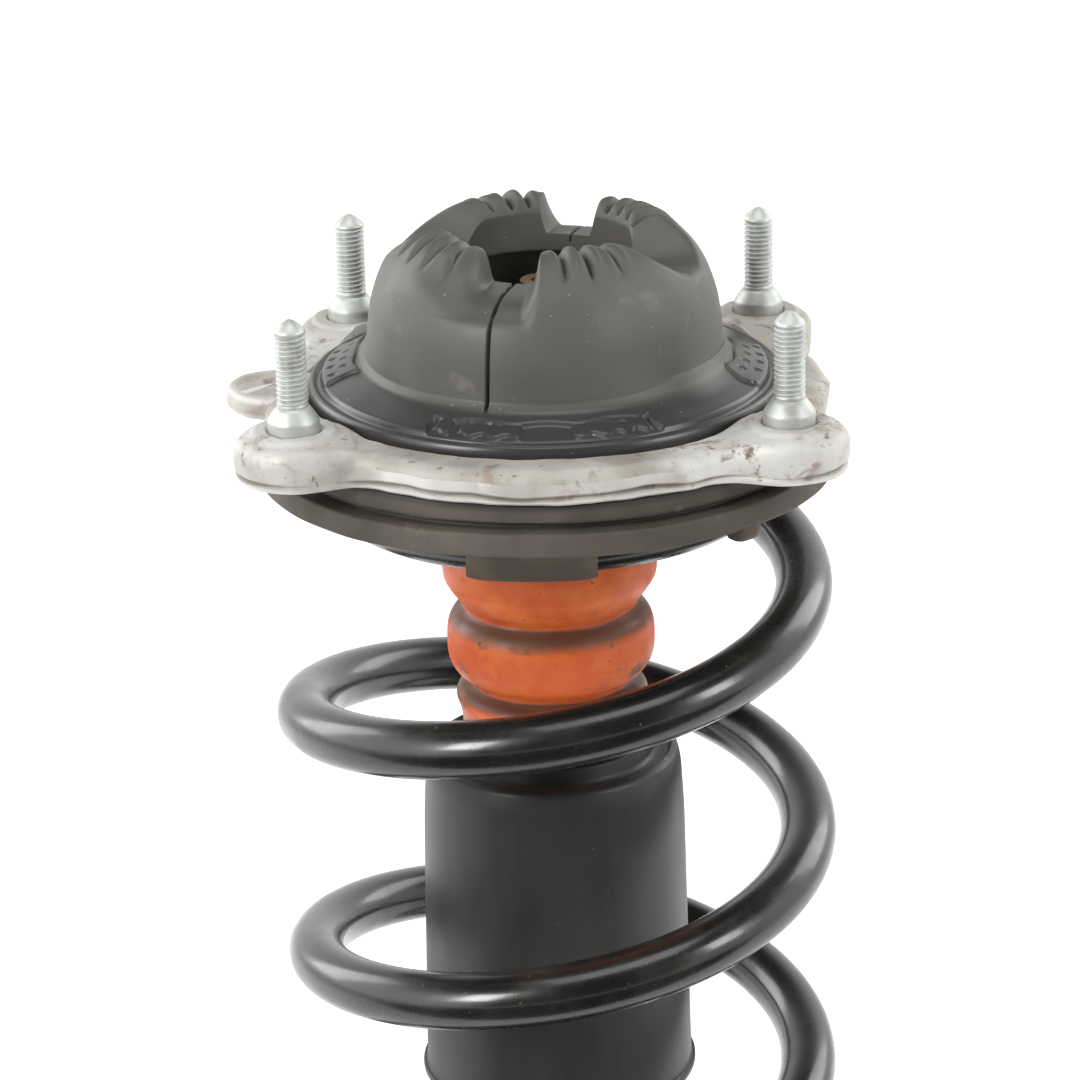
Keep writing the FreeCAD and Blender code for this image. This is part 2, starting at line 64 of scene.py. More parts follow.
# ---------------------------------------------------------------- camera, light and floor
AZIMUTH, ELEVATION, ROLL = 1.0, 20.37, 1.27      # degrees
LENS, DISTANCE = 132.5, 1.0455
AIM = Vector((-0.0023, 0, PAD_Z - 0.048))
ROOM_LIGHT = 0.24                                # strength of the light from all round
DARK_FRONT = 0.06                                # what the gloss sees where there is no screen
LEFT_SCREEN, RIGHT_SCREEN, BACK_SCREEN = 2.3, 1.3, 1.2


def make_camera():
    a, e = math.radians(AZIMUTH), math.radians(ELEVATION)
    back = Vector((math.sin(a) * math.cos(e), -math.cos(a) * math.cos(e), math.sin(e)))
    data = bpy.data.cameras.new("camera")
    data.lens = LENS
    data.sensor_width = 36
    data.clip_start, data.clip_end = 0.05, 100
    camera = bpy.data.objects.new("camera", data)
    bpy.context.scene.collection.objects.link(camera)
    turn = (-back).to_track_quat("-Z", "Y").to_matrix().to_4x4()
    roll = Matrix.Rotation(math.radians(-ROLL), 4, "Z")
    camera.matrix_world = Matrix.Translation(AIM + back * DISTANCE) @ turn @ roll
    bpy.context.scene.camera = camera


def area_light(name, azimuth, elevation, distance, size, power, tall=None):
    """A soft box that faces the top mount; azimuth 0 is the camera's side, and it grows to the right."""
    a, e = math.radians(azimuth), math.radians(elevation)
    towards = Vector((math.sin(a) * math.cos(e), -math.cos(a) * math.cos(e), math.sin(e)))
    data = bpy.data.lights.new(name, "AREA")
    data.shape = "RECTANGLE"
    data.size, data.size_y = size, tall or size
    data.energy = power
    light = bpy.data.objects.new(name, data)
    bpy.context.scene.collection.objects.link(light)
    light.location = AIM + towards * distance
    light.rotation_mode = "QUATERNION"
    light.rotation_quaternion = (-towards).to_track_quat("-Z", "Y")


def make_world():
    """White behind the object, soft light from all round, and bright screens for the gloss to reflect."""
    world = bpy.data.worlds.new("studio")
    bpy.context.scene.world = world
    world.use_nodes = True
    tree = world.node_tree

    def link(output, socket):
        tree.links.new(output, socket)

    def math_node(operation, *values):
        node = tree.nodes.new("ShaderNodeMath")
        node.operation = operation
        for socket, value in zip(node.inputs, values):
            if isinstance(value, bpy.types.NodeSocket):
                link(value, socket)
            else:
                socket.default_value = value
        return node.outputs[0]

    def screen(value, start, full):
        node = tree.nodes.new("ShaderNodeMapRange")
        node.interpolation_type = "SMOOTHSTEP"
        link(value, node.inputs["Value"])
        node.inputs["From Min"].default_value = start
        node.inputs["From Max"].default_value = full
        return node.outputs["Result"]

    def light(strength):
        node = tree.nodes.new("ShaderNodeBackground")
        node.inputs["Color"].default_value = (1.0, 0.99, 0.975, 1)
        if isinstance(strength, bpy.types.NodeSocket):
            link(strength, node.inputs["Strength"])
        else:
            node.inputs["Strength"].default_value = strength
        return node.outputs[0]

    def choose(flag, otherwise, chosen):
        node = tree.nodes.new("ShaderNodeMixShader")
        link(flag, node.inputs[0])
        link(otherwise, node.inputs[1])
        link(chosen, node.inputs[2])
        return node.outputs[0]

    place = tree.nodes.new("ShaderNodeTexCoord").outputs["Generated"]
    split = tree.nodes.new("ShaderNodeSeparateXYZ")
    link(place, split.inputs[0])
    x, y, z = split.outputs
    left = screen(math_node("MULTIPLY", x, -1.0), 0.52, 0.72)
    right = screen(x, 0.60, 0.80)
    back = screen(y, 0.25, 0.6)
    low = screen(z, 0.85, 0.45)
    left_glow = math_node("MULTIPLY", left, LEFT_SCREEN)
    right_glow = math_node("MULTIPLY", right, RIGHT_SCREEN)
    screens = math_node("ADD", left_glow, right_glow)
    screens = math_node("MAXIMUM", screens, math_node("MULTIPLY", back, BACK_SCREEN))
    gloss = math_node("ADD", math_node("MULTIPLY", screens, low), DARK_FRONT)
    sight = tree.nodes.new("ShaderNodeLightPath")
    indirect = choose(sight.outputs["Is Glossy Ray"], light(ROOM_LIGHT), light(gloss))
    surface = choose(sight.outputs["Is Camera Ray"], indirect, light(1.05))
    link(surface, tree.nodes["World Output"].inputs["Surface"])


def make_flag(floor_z):
    """Black card on the floor before the object. Only reflections see it, and it darkens the gloss."""
    mesh = bpy.data.meshes.new("flag")
    near, far, half, z = -0.30, -4.0, 2.5, floor_z + 0.002
    corners = [(-half, far, z), (half, far, z), (half, near, z), (-half, near, z)]
    mesh.from_pydata(corners, [], [(0, 1, 2, 3)])
    flag = bpy.data.objects.new("flag", mesh)
    bpy.context.scene.collection.objects.link(flag)
    flag.visible_camera = False
    flag.visible_diffuse = False
    flag.visible_shadow = False
    flag.visible_transmission = False
    mesh.materials.append(Shade("flag_black", (0.01, 0.01, 0.01), 0.9).done())


def make_stage():
    make_world()
    area_light("key_left", -44, 27, 1.6, 0.42, 16, tall=0.6)
    area_light("key_right", 62, 27, 1.5, 0.36, 7.5, tall=0.6)
    area_light("top", 10, 80, 1.7, 1.2, 14)
    area_light("rim_left", -120, 20, 1.7, 0.7, 9, tall=1.1)
    area_light("rim_right", 125, 25, 1.7, 0.7, 9, tall=1.1)

    floor_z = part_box("lower_eye")[0].z - 0.0005
    make_flag(floor_z)
    mesh = bpy.data.meshes.new("floor")
    steps, radius = 96, 40.0
    angles = [TAU * k / steps for k in range(steps)]
    rim = [(radius * math.cos(angle), radius * math.sin(angle), floor_z) for angle in angles]
    mesh.from_pydata(rim, [], [tuple(range(steps))])
    floor = bpy.data.objects.new("floor", mesh)
    bpy.context.scene.collection.objects.link(floor)
    shade = Shade("floor_white", (0.9, 0.9, 0.89), 0.8)
    shade.shader.inputs["Emission Color"].default_value = (1, 1, 1, 1)
    spot = shade.add("ShaderNodeSeparateXYZ", Vector=shade.place)
    distance = shade.math("POWER", shade.math("ADD", shade.math("POWER", spot.outputs["X"], 2.0),
                                              shade.math("POWER", spot.outputs["Y"], 2.0)), 0.5)
    shade.feed(shade.shader, "Emission Strength", shade.span(distance, 0.2, 1.4, 0.5, 0.9))
    mesh.materials.append(shade.done())
    bpy.context.scene.view_settings.view_transform = "Standard"


# ---------------------------------------------------------------- materials
class Shade:
    """A Principled material, and short calls that add the nodes that vary it over the surface."""

    def __init__(self, name, color, roughness, metallic=0.0, **sockets):
        self.material = bpy.data.materials.new(name)
        self.material.use_nodes = True
        self.tree = self.material.node_tree
        self.shader = self.tree.nodes["Principled BSDF"]
        self.place = self.add("ShaderNodeTexCoord").outputs["Object"]
        self.shader.inputs["Base Color"].default_value = (*color, 1)
        self.shader.inputs["Roughness"].default_value = roughness
        self.shader.inputs["Metallic"].default_value = metallic
        for socket, value in sockets.items():
            self.shader.inputs[socket.replace("_", " ")].default_value = value
        self.color, self.roughness, self.normal = None, None, None
        self.base, self.rough = color, roughness

    def add(self, kind, **inputs):
        node = self.tree.nodes.new(kind)
        for name, value in inputs.items():
            self.feed(node, name.replace("_", " "), value)
        return node

    def feed(self, node, name, value):
        socket = node.inputs[name]
        if isinstance(value, bpy.types.NodeSocket):
            self.tree.links.new(value, socket)
        else:
            socket.default_value = value

    def stretched(self, x, y, z):
        node = self.add("ShaderNodeMapping", Vector=self.place)
        node.inputs["Scale"].default_value = (x, y, z)
        return node.outputs["Vector"]

    def noise(self, scale, detail=4.0, roughness=0.55, place=None, distortion=0.0):
        """Noise from 0 to 1; scale is in features per metre."""
        node = self.add("ShaderNodeTexNoise", Vector=place or self.place, Scale=scale, Detail=detail,
                        Roughness=roughness, Distortion=distortion)
        return node.outputs["Fac"]

    def cells(self, scale, place=None):
        node = self.add("ShaderNodeTexVoronoi", Vector=place or self.place, Scale=scale)
        return node.outputs["Distance"]

    def height(self):
        """Height above the stud pads, in metres."""
        z = self.add("ShaderNodeSeparateXYZ", Vector=self.place).outputs["Z"]
        return self.math("SUBTRACT", z, PAD_Z)

    def facing_up(self):
        normal = self.add("ShaderNodeNewGeometry").outputs["Normal"]
        return self.add("ShaderNodeSeparateXYZ", Vector=normal).outputs["Z"]

    def edges(self):
        return self.add("ShaderNodeNewGeometry").outputs["Pointiness"]

    def math(self, operation, a, b=0.0):
        node = self.add("ShaderNodeMath")
        node.operation = operation
        for socket, value in zip(node.inputs, (a, b)):
            if isinstance(value, bpy.types.NodeSocket):
                self.tree.links.new(value, socket)
            else:
                socket.default_value = value
        return node.outputs[0]

    def span(self, value, low, high, to_low=0.0, to_high=1.0):
        """value from low to high, taken to to_low .. to_high and held there."""
        node = self.add("ShaderNodeMapRange", Value=value)
        node.interpolation_type = "SMOOTHSTEP"
        ends = {"From Min": low, "From Max": high, "To Min": to_low, "To Max": to_high}
        for name, number in ends.items():
            node.inputs[name].default_value = number
        return node.outputs["Result"]

    def tint(self, share, color):
        """Lays color over what is there, by share."""
        node = self.add("ShaderNodeMix")
        node.data_type = "RGBA"
        self.tree.links.new(share, node.inputs[0])
        if self.color is None:
            node.inputs[6].default_value = (*self.base, 1)
        else:
            self.tree.links.new(self.color, node.inputs[6])
        node.inputs[7].default_value = (*color, 1)
        self.color = node.outputs[2]
        return self

    def polish(self, share, roughness):
        """Moves the roughness to a new value, by share."""
        node = self.add("ShaderNodeMix")
        self.tree.links.new(share, node.inputs[0])
        if self.roughness is None:
            node.inputs[2].default_value = self.rough
        else:
            self.tree.links.new(self.roughness, node.inputs[2])
        node.inputs[3].default_value = roughness
        self.roughness = node.outputs[0]
        return self

    def bump(self, height, depth_mm, strength=1.0):
        node = self.add("ShaderNodeBump", Height=height, Strength=strength, Distance=depth_mm * MM)
        if self.normal is not None:
            self.tree.links.new(self.normal, node.inputs["Normal"])
        self.normal = node.outputs["Normal"]
        return self

    def done(self):
        outputs = {"Base Color": self.color, "Roughness": self.roughness, "Normal": self.normal}
        for name, output in outputs.items():
            if output is not None:
                self.tree.links.new(output, self.shader.inputs[name])
        return self.material


def cast_aluminium():
    s = Shade("cast_aluminium", (0.425, 0.41, 0.37), 0.55, metallic=0.30)
    s.tint(s.span(s.noise(38, 5), 0.42, 0.66), (0.29, 0.27, 0.23))
    s.tint(s.span(s.noise(22, 5, 0.6), 0.52, 0.70), (0.56, 0.555, 0.53))
    s.tint(s.span(s.noise(95, 6, 0.65, distortion=0.6), 0.54, 0.66), (0.27, 0.215, 0.175))
    s.tint(s.span(s.noise(210, 5, 0.7), 0.60, 0.70), (0.15, 0.12, 0.10))
    # painted highlight: convex edges are tinted lighter, as if catching the light
    s.tint(s.span(s.edges(), 0.515, 0.58), (0.66, 0.65, 0.62))
    # painted shade with some crevice dirt: creases and hollows are tinted darker
    s.tint(s.span(s.edges(), 0.485, 0.43), (0.13, 0.115, 0.095))
    s.polish(s.span(s.noise(60, 4), 0.35, 0.7), 0.68)
    s.bump(s.noise(140, 6, 0.6), 0.6, 0.6)
    s.bump(s.noise(900, 3), 0.08, 0.5)
    return s.done()


def zinc_steel():
    s = Shade("zinc_steel", (0.50, 0.52, 0.50), 0.50, metallic=0.55)
    s.tint(s.span(s.noise(160, 4), 0.45, 0.72), (0.38, 0.385, 0.35))
    # painted shade: thread roots and other hollows are tinted darker
    s.tint(s.span(s.edges(), 0.47, 0.40), (0.20, 0.20, 0.17))
    s.tint(s.span(s.noise(420, 5, 0.7), 0.62, 0.72), (0.36, 0.31, 0.25))
    s.polish(s.span(s.noise(240, 4), 0.35, 0.7), 0.48)
    s.bump(s.noise(1300, 3), 0.03, 0.4)
    return s.done()


def mount_rubber():
    s = Shade("mount_rubber", (0.082, 0.079, 0.070), 0.46, Specular_IOR_Level=0.42)
    s.tint(s.span(s.noise(24, 5, 0.6), 0.38, 0.70), (0.108, 0.103, 0.090))
    s.tint(s.span(s.noise(12, 4, 0.6), 0.45, 0.72), (0.062, 0.060, 0.055))
    # painted shade: faces that turn upwards are tinted darker
    s.tint(s.span(s.facing_up(), 0.55, 0.95), (0.062, 0.060, 0.054))
    s.tint(s.span(s.noise(75, 5, 0.6, distortion=0.5), 0.60, 0.78), (0.150, 0.143, 0.125))
    # painted shade: the flange, below 5.5 mm above the pads, is tinted darker
    s.tint(s.span(s.height(), 0.0055, 0.0015), (0.034, 0.033, 0.032))
    s.tint(s.span(s.noise(600, 2, 0.5), 0.74, 0.78), (0.20, 0.19, 0.17))
    # painted shade: creases and grooves are tinted darker
    s.tint(s.span(s.edges(), 0.485, 0.43), (0.030, 0.029, 0.027))
    s.polish(s.span(s.noise(30, 4), 0.4, 0.7), 0.60)
    s.polish(s.span(s.height(), 0.0055, 0.0015), 0.30)
    s.bump(s.noise(320, 5, 0.6), 0.09, 0.35)
    s.bump(s.noise(2200, 2), 0.02, 0.4)
    return s.done()


def pad_rubber():
    s = Shade("pad_rubber", (0.052, 0.044, 0.034), 0.60, Specular_IOR_Level=0.38)
    s.tint(s.span(s.noise(30, 5, 0.6), 0.38, 0.68), (0.085, 0.072, 0.056))
    s.tint(s.span(s.noise(16, 5, 0.6, place=s.stretched(1, 1, 0.2)), 0.50, 0.72), (0.034, 0.031, 0.026))
    s.tint(s.span(s.noise(110, 6, 0.65), 0.58, 0.76), (0.120, 0.100, 0.078))
    # painted shadow: the band just under the cast plate is tinted darker
    s.tint(s.span(s.height(), -0.0150, -0.0128), (0.022, 0.021, 0.019))
    # painted shade: creases and grooves are tinted darker
    s.tint(s.span(s.edges(), 0.49, 0.44), (0.012, 0.011, 0.010))
    s.polish(s.span(s.noise(50, 4), 0.4, 0.7), 0.8)
    s.bump(s.noise(260, 6, 0.65), 0.18, 0.5)
    s.bump(s.noise(1500, 3), 0.04, 0.5)
    return s.done()


def clip_plastic():
    s = Shade("clip_plastic", (0.047, 0.034, 0.024), 0.48, Specular_IOR_Level=0.38)
    s.tint(s.span(s.noise(60, 5, 0.6), 0.42, 0.70), (0.072, 0.054, 0.038))
    s.tint(s.span(s.noise(35, 4, 0.6, place=s.stretched(1, 1, 0.3)), 0.50, 0.70), (0.028, 0.022, 0.017))
    # painted shade: creases are tinted darker
    s.tint(s.span(s.edges(), 0.49, 0.44), (0.012, 0.010, 0.008))
    s.polish(s.span(s.noise(80, 4), 0.4, 0.7), 0.62)
    s.bump(s.noise(420, 4), 0.05, 0.4)
    return s.done()


def spring_paint():
    s = Shade("spring_paint", (0.0070, 0.0066, 0.0060), 0.24, Specular_IOR_Level=0.5, Coat_Weight=0.3,
              Coat_Roughness=0.12)
    s.tint(s.span(s.noise(38, 5, 0.6), 0.45, 0.75), (0.021, 0.0195, 0.017))
    s.tint(s.span(s.noise(520, 4, 0.7), 0.67, 0.73), (0.12, 0.11, 0.09))
    s.tint(s.span(s.noise(26, 6, 0.72, distortion=0.5), 0.66, 0.70), (0.075, 0.070, 0.060))
    s.polish(s.span(s.noise(60, 5, 0.65), 0.42, 0.72), 0.36)
    s.bump(s.noise(55, 3), 0.35, 0.22)
    s.bump(s.noise(900, 3), 0.03, 0.45)
    return s.done()


def bumper_foam():
    s = Shade("bumper_foam", (0.56, 0.105, 0.022), 0.40, Specular_IOR_Level=0.38, Subsurface_Weight=0.06,
              Subsurface_Scale=0.004)
    s.tint(s.span(s.noise(70, 5, 0.6), 0.40, 0.72), (0.48, 0.068, 0.016))
    s.tint(s.span(s.noise(30, 4, 0.6), 0.46, 0.66), (0.68, 0.165, 0.034))
    s.tint(s.span(s.noise(48, 6, 0.7, place=s.stretched(1, 1, 2.2)), 0.56, 0.68), (0.20, 0.055, 0.020))
    # brown dirt and painted shade: faces that turn upwards, under each neck, are tinted brown-grey
    s.tint(s.span(s.facing_up(), 0.12, 0.62), (0.115, 0.046, 0.024))
    # painted shade: the necks and other hollows are tinted near black
    s.tint(s.span(s.edges(), 0.497, 0.445), (0.034, 0.015, 0.009))
    s.tint(s.span(s.noise(120, 4, 0.7), 0.62, 0.72), (0.10, 0.045, 0.026))
    s.tint(s.span(s.noise(700, 3, 0.6), 0.68, 0.75), (0.06, 0.030, 0.018))
    # painted shade: below 93.5 to 98.5 mm under the pads the foam is tinted near black, as in the coil's shadow
    # and the collar
    s.tint(s.span(s.height(), -0.0935, -0.0985), (0.012, 0.010, 0.009))
    s.polish(s.span(s.noise(90, 4), 0.35, 0.7), 0.66)
    s.bump(s.noise(420, 5, 0.6), 0.14, 0.4)
    s.bump(s.cells(2600), 0.03, 0.35)
    return s.done()


def dust_plastic():
    s = Shade("dust_plastic", (0.022, 0.0218, 0.0210), 0.38, Specular_IOR_Level=0.38)
    s.tint(s.span(s.noise(26, 5, 0.6, place=s.stretched(1, 1, 0.35)), 0.40, 0.72), (0.036, 0.035, 0.033))
    # painted shade: the collar and trough above 105.5 mm under the pads are tinted darker
    s.tint(s.span(s.height(), -0.1085, -0.1055), (0.010, 0.010, 0.010))
    s.tint(s.span(s.noise(800, 2, 0.5), 0.76, 0.80), (0.14, 0.13, 0.12))
    # painted highlight: sharp convex edges are tinted lighter, as if catching the light
    s.tint(s.span(s.edges(), 0.53, 0.60), (0.075, 0.073, 0.070))
    s.polish(s.span(s.noise(40, 4, place=s.stretched(1, 1, 0.3)), 0.35, 0.7), 0.52)
    s.bump(s.noise(120, 4, place=s.stretched(1, 1, 0.2)), 0.10, 0.4)
    s.bump(s.noise(1600, 2), 0.02, 0.4)
    return s.done()


def black_paint():
    s = Shade("black_paint", (0.016, 0.016, 0.017), 0.36, Specular_IOR_Level=0.5, Coat_Weight=0.15,
              Coat_Roughness=0.2)
    s.tint(s.span(s.noise(30, 5, 0.6), 0.45, 0.75), (0.028, 0.027, 0.026))
    s.tint(s.span(s.noise(420, 5, 0.7), 0.67, 0.74), (0.12, 0.075, 0.045))
    s.tint(s.span(s.noise(38, 6, 0.7, place=s.stretched(1, 1, 0.25)), 0.60, 0.70), (0.060, 0.058, 0.054))
    s.polish(s.span(s.noise(55, 4), 0.4, 0.7), 0.52)
    s.bump(s.noise(700, 4), 0.05, 0.45)
    return s.done()


def machined_steel(name, color, roughness, rust=0.0):
    s = Shade(name, color, roughness, metallic=0.95)
    s.tint(s.span(s.noise(180, 4), 0.45, 0.75), tuple(0.75 * c for c in color))
    if rust:
        s.tint(s.span(s.noise(260, 6, 0.7), 0.62 - rust * 0.3, 0.75 - rust * 0.2), (0.20, 0.085, 0.040))
    s.polish(s.span(s.noise(300, 4, place=s.stretched(0.15, 0.15, 4)), 0.3, 0.7), roughness + 0.14)
    s.bump(s.noise(500, 3, place=s.stretched(0.1, 0.1, 6)), 0.02, 0.4)
    return s.done()


def rod_chrome():
    """Hard chrome, with a rusty end where the rod stands in the mount."""
    s = Shade("rod_chrome", (0.70, 0.70, 0.71), 0.08, metallic=1.0)
    s.tint(s.span(s.height(), -0.004, 0.004), (0.42, 0.27, 0.17))
    s.tint(s.span(s.noise(420, 5, 0.7), 0.60, 0.72), (0.30, 0.17, 0.09))
    s.polish(s.span(s.height(), -0.004, 0.004), 0.38)
    s.bump(s.noise(300, 3, place=s.stretched(0.1, 0.1, 6)), 0.01, 0.3)
    return s.done()


def plain_rubber():
    s = Shade("plain_rubber", (0.020, 0.020, 0.020), 0.55, Specular_IOR_Level=0.4)
    s.tint(s.span(s.noise(60, 5), 0.4, 0.7), (0.038, 0.037, 0.035))
    s.polish(s.span(s.noise(90, 4), 0.4, 0.7), 0.7)
    s.bump(s.noise(900, 4), 0.05, 0.5)
    return s.done()


def warm_metal(name, color, roughness):
    s = Shade(name, color, roughness, metallic=0.8)
    s.tint(s.span(s.noise(120, 4), 0.4, 0.7), tuple(0.7 * c for c in color))
    s.polish(s.span(s.noise(200, 4), 0.3, 0.7), roughness + 0.15)
    s.bump(s.noise(900, 3), 0.03, 0.4)
    return s.done()


def make_materials():
    return {
        "cast_aluminium": cast_aluminium(), "zinc_steel": zinc_steel(), "mount_rubber": mount_rubber(),
        "pad_rubber": pad_rubber(), "clip_plastic": clip_plastic(), "spring_paint": spring_paint(),
        "bumper_foam": bumper_foam(), "dust_plastic": dust_plastic(), "tube_paint": black_paint(),
        "seat_paint": black_paint(), "cup_paint": black_paint(), "rod_chrome": rod_chrome(),
        "plain_steel": machined_steel("plain_steel", (0.50, 0.50, 0.51), 0.34, rust=0.2),
        "nut_steel": machined_steel("nut_steel", (0.42, 0.34, 0.27), 0.42, rust=0.7),
        "seal_rubber": plain_rubber(),
        "bearing_bronze": warm_metal("bearing_bronze", (0.50, 0.34, 0.17), 0.35),
        "piston_iron": warm_metal("piston_iron", (0.20, 0.20, 0.21), 0.45),
        "band_plastic": warm_metal("band_plastic", (0.14, 0.10, 0.07), 0.5),
        "guide_aluminium": machined_steel("guide_aluminium", (0.66, 0.66, 0.67), 0.3),
    }


# ---------------------------------------------------------------- mesh helpers
# From here on, points are in millimetres, with z measured from the plane of the stud pads.
def put(name, points, faces, slot, body, replaces=(), finish=None):
    """Makes one smooth piece from points in millimetres, rides it on a body and gives it its finish."""
    mesh = bpy.data.meshes.new(name)
    scaled = np.asarray(points, float) * MM + (0, 0, PAD_Z)
    mesh.from_pydata(scaled.tolist(), [], [list(map(int, face)) for face in faces])
    mesh.validate()
    bm = bmesh.new()
    bm.from_mesh(mesh)
    bmesh.ops.recalc_face_normals(bm, faces=bm.faces)
    bm.to_mesh(mesh)
    bm.free()
    mesh.shade_smooth()
    mesh.set_sharp_from_angle(angle=math.radians(42))
    mesh.materials.append(MATERIALS[finish or slot])
    piece = bpy.data.objects.new(name, mesh)
    bpy.context.scene.collection.objects.link(piece)
    if replaces:
        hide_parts(*replaces)
    if body:
        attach(piece, body)
    return piece


def grid_faces(rows, columns, close_rows=False, close_columns=False, start=0):
    """Quads over a grid of points stored row by row."""
    faces = []
    for i in range(rows if close_rows else rows - 1):
        below = start + ((i + 1) % rows) * columns
        above = start + i * columns
        for j in range(columns if close_columns else columns - 1):
            k = (j + 1) % columns
            faces.append((above + j, above + k, below + k, below + j))
    return faces


def rounded(corners, radii, steps=5, closed=True):
    """The corners of an outline, each cut back by a round of its own radius."""
    count = len(corners)
    outline = []
    for i, (corner, radius) in enumerate(zip(corners, radii)):
        if radius <= 0 or (not closed and i in (0, count - 1)):
            outline.append(corner)
            continue
        here = np.array(corner, float)
        before = np.array(corners[i - 1], float) - here
        after = np.array(corners[(i + 1) % count], float) - here
        cut = min(radius, 0.48 * np.linalg.norm(before), 0.48 * np.linalg.norm(after))
        first = here + before / np.linalg.norm(before) * cut
        last = here + after / np.linalg.norm(after) * cut
        for k in range(steps + 1):
            t = k / steps
            outline.append(tuple((1 - t) ** 2 * first + 2 * t * (1 - t) * here + t * t * last))
    return outline


def curve_through(points, steps=6):
    """A smooth open line through points (Catmull-Rom)."""
    p = np.array([points[0], *points, points[-1]], float)
    line = []
    for i in range(1, len(p) - 2):
        for k in range(steps):
            t = k / steps
            line.append(tuple(0.5 * (2 * p[i] + (p[i + 1] - p[i - 1]) * t
                                     + (2 * p[i - 1] - 5 * p[i] + 4 * p[i + 1] - p[i + 2]) * t ** 2
                                     + (3 * p[i] - p[i - 1] - 3 * p[i + 1] + p[i + 2]) * t ** 3)))
    line.append(tuple(p[-1]))
    return line


def lathe_points(profile, segments, shift=None):
    """Points of a ring turned from a closed profile; shift(angle, r, z) may move them to new r and z."""
    angles = np.arange(segments) * TAU / segments
    points = []
    for r, z in profile:
        radius, height = np.full(segments, float(r)), np.full(segments, float(z))
        if shift:
            radius, height = shift(angles, radius, height)
        points.append(np.stack([radius * np.cos(angles), radius * np.sin(angles), height], axis=1))
    return np.concatenate(points)


def lathe(name, profile, slot, body, segments=192, shift=None, replaces=()):
    points = lathe_points(profile, segments, shift)
    faces = grid_faces(len(profile), segments, close_rows=True, close_columns=True)
    return put(name, points, faces, slot, body, replaces)


def smooth(value):
    value = np.clip(value, 0.0, 1.0)
    return value * value * (3 - 2 * value)


def waves(angles, *terms):
    """A sum of sines round the axis; each term is (amplitude, lobes, phase)."""
    return sum(a * np.sin(n * angles + phase) for a, n, phase in terms)


# ---------------------------------------------------------------- studs
STUD_TOP, STUD_R, THREAD_PITCH, THREAD_DEPTH = 28.3, 3.95, 1.25, 0.62


def stud_positions():
    """Stud axes in millimetres, from the two mounts that state them."""
    places = []
    for name in ("front_studs", "rear_studs"):
        mount = MOUNTS[name]
        x, y = mount["pos_m"][0] / MM, mount["pos_m"][1] / MM
        half = mount["dims"]["spacing_x_mm"] / 2
        places += [(x - half, y), (x + half, y)]
    return places


def thread_radius(angle, z, start, end):
    """A helical V thread with round crests and roots that fades in and out."""
    turn = z / THREAD_PITCH - angle / TAU
    valley = (0.5 - 0.5 * np.cos(TAU * turn)) ** 1.3
    fade = smooth((z - start) / 1.5) * smooth((end - z) / 1.2)
    return STUD_R - THREAD_DEPTH * valley * fade


def make_studs():
    segments = 40
    angles = np.arange(segments) * TAU / segments
    thread_start, thread_end = 6.4, STUD_TOP - 3.0
    base = rounded(
        [(0.01, -12.5), (7.7, -12.5), (7.7, -10.4), (5.1, -10.4), (5.1, -2.0), (6.55, -2.0), (6.55, 2.6),
         (4.5, 5.6), (STUD_R, 6.0)],
        [0, 0.6, 0.5, 0, 0.4, 0.5, 0.6, 0.6, 0.3], closed=False)
    rows = [(np.full(segments, r), np.full(segments, z)) for r, z in base]
    for z in np.arange(thread_start - 0.3, thread_end, 0.125):
        rows.append((thread_radius(angles, z, thread_start, thread_end), np.full(segments, z)))
    point = [(STUD_R, thread_end), (3.55, 26.0), (2.2, 27.3), (1.15, 28.0), (0.6, STUD_TOP),
             (0.01, STUD_TOP)]
    for r, z in curve_through(point, 4):
        rows.append((np.full(segments, r), np.full(segments, z)))
    points, faces = [], []
    for x, y in stud_positions():
        start = len(points) * len(rows) * segments
        turn = 0.7 * x + 0.3 * y
        stack = [np.stack([x + r * np.cos(angles + turn), y + r * np.sin(angles + turn), z], axis=1)
                 for r, z in rows]
        points.append(np.concatenate(stack))
        faces += grid_faces(len(rows), segments, close_columns=True, start=start)
        faces.append(tuple(range(start, start + segments)))
        top = start + (len(rows) - 1) * segments
        faces.append(tuple(range(top + segments - 1, top - 1, -1)))
    put("threaded_studs", np.concatenate(points), faces, "zinc_steel", "upper", ["mount_studs"])


# ---------------------------------------------------------------- cast top plate
PLATE_R, EAR_R, PLATE_LOW, RING_Z, OPENING_R = 73.2, 14.8, -12.5, -3.7, 62.3


def plate_distance(x, y):
    """Signed distance to the plate's outline, with soft joints between the disc and the ears."""
    distance = np.hypot(x, y) - PLATE_R
    for sx, sy in stud_positions():
        ear = np.hypot(x - sx, y - sy) - EAR_R
        blend = 11.0
        near = np.maximum(blend - np.abs(distance - ear), 0) / blend
        distance = np.minimum(distance, ear) - near * near * blend / 4
    return distance


def plate_edge(angles):
    """Outer radius of the plate round the axis, by bisection along each ray."""
    low, high = np.full(len(angles), 60.0), np.full(len(angles), 100.0)
    for _ in range(40):
        middle = (low + high) / 2
        outside = plate_distance(middle * np.cos(angles), middle * np.sin(angles)) > 0
        high = np.where(outside, middle, high)
        low = np.where(outside, low, middle)
    wave = waves(angles, (0.35, 7, 0.4), (0.25, 13, 2.0), (0.18, 29, 1.1), (0.10, 53, 0.3))
    return (low + high) / 2 + wave


def cast_wave(x, y, size, depth):
    return np.array([noise.noise(Vector((a / size, b / size, 0.37))) for a, b in zip(x, y)]) * depth


def plate_top(x, y):
    """Height of the plate's upper face: a low ring, raised ears and a pad ring round each stud."""
    z = np.full(len(x), RING_Z)
    for sx, sy in stud_positions():
        d = np.hypot(x - sx, y - sy)
        z = np.maximum(z, RING_Z + 2.6 * smooth((19.0 - d) / 8.5))
        ring = smooth((11.4 - d) / 1.4) * smooth((d - 6.4) / 0.9)
        z = np.where(d < 12, z + 1.05 * ring - 0.5 * smooth((7.2 - d) / 0.8), z)
    return z


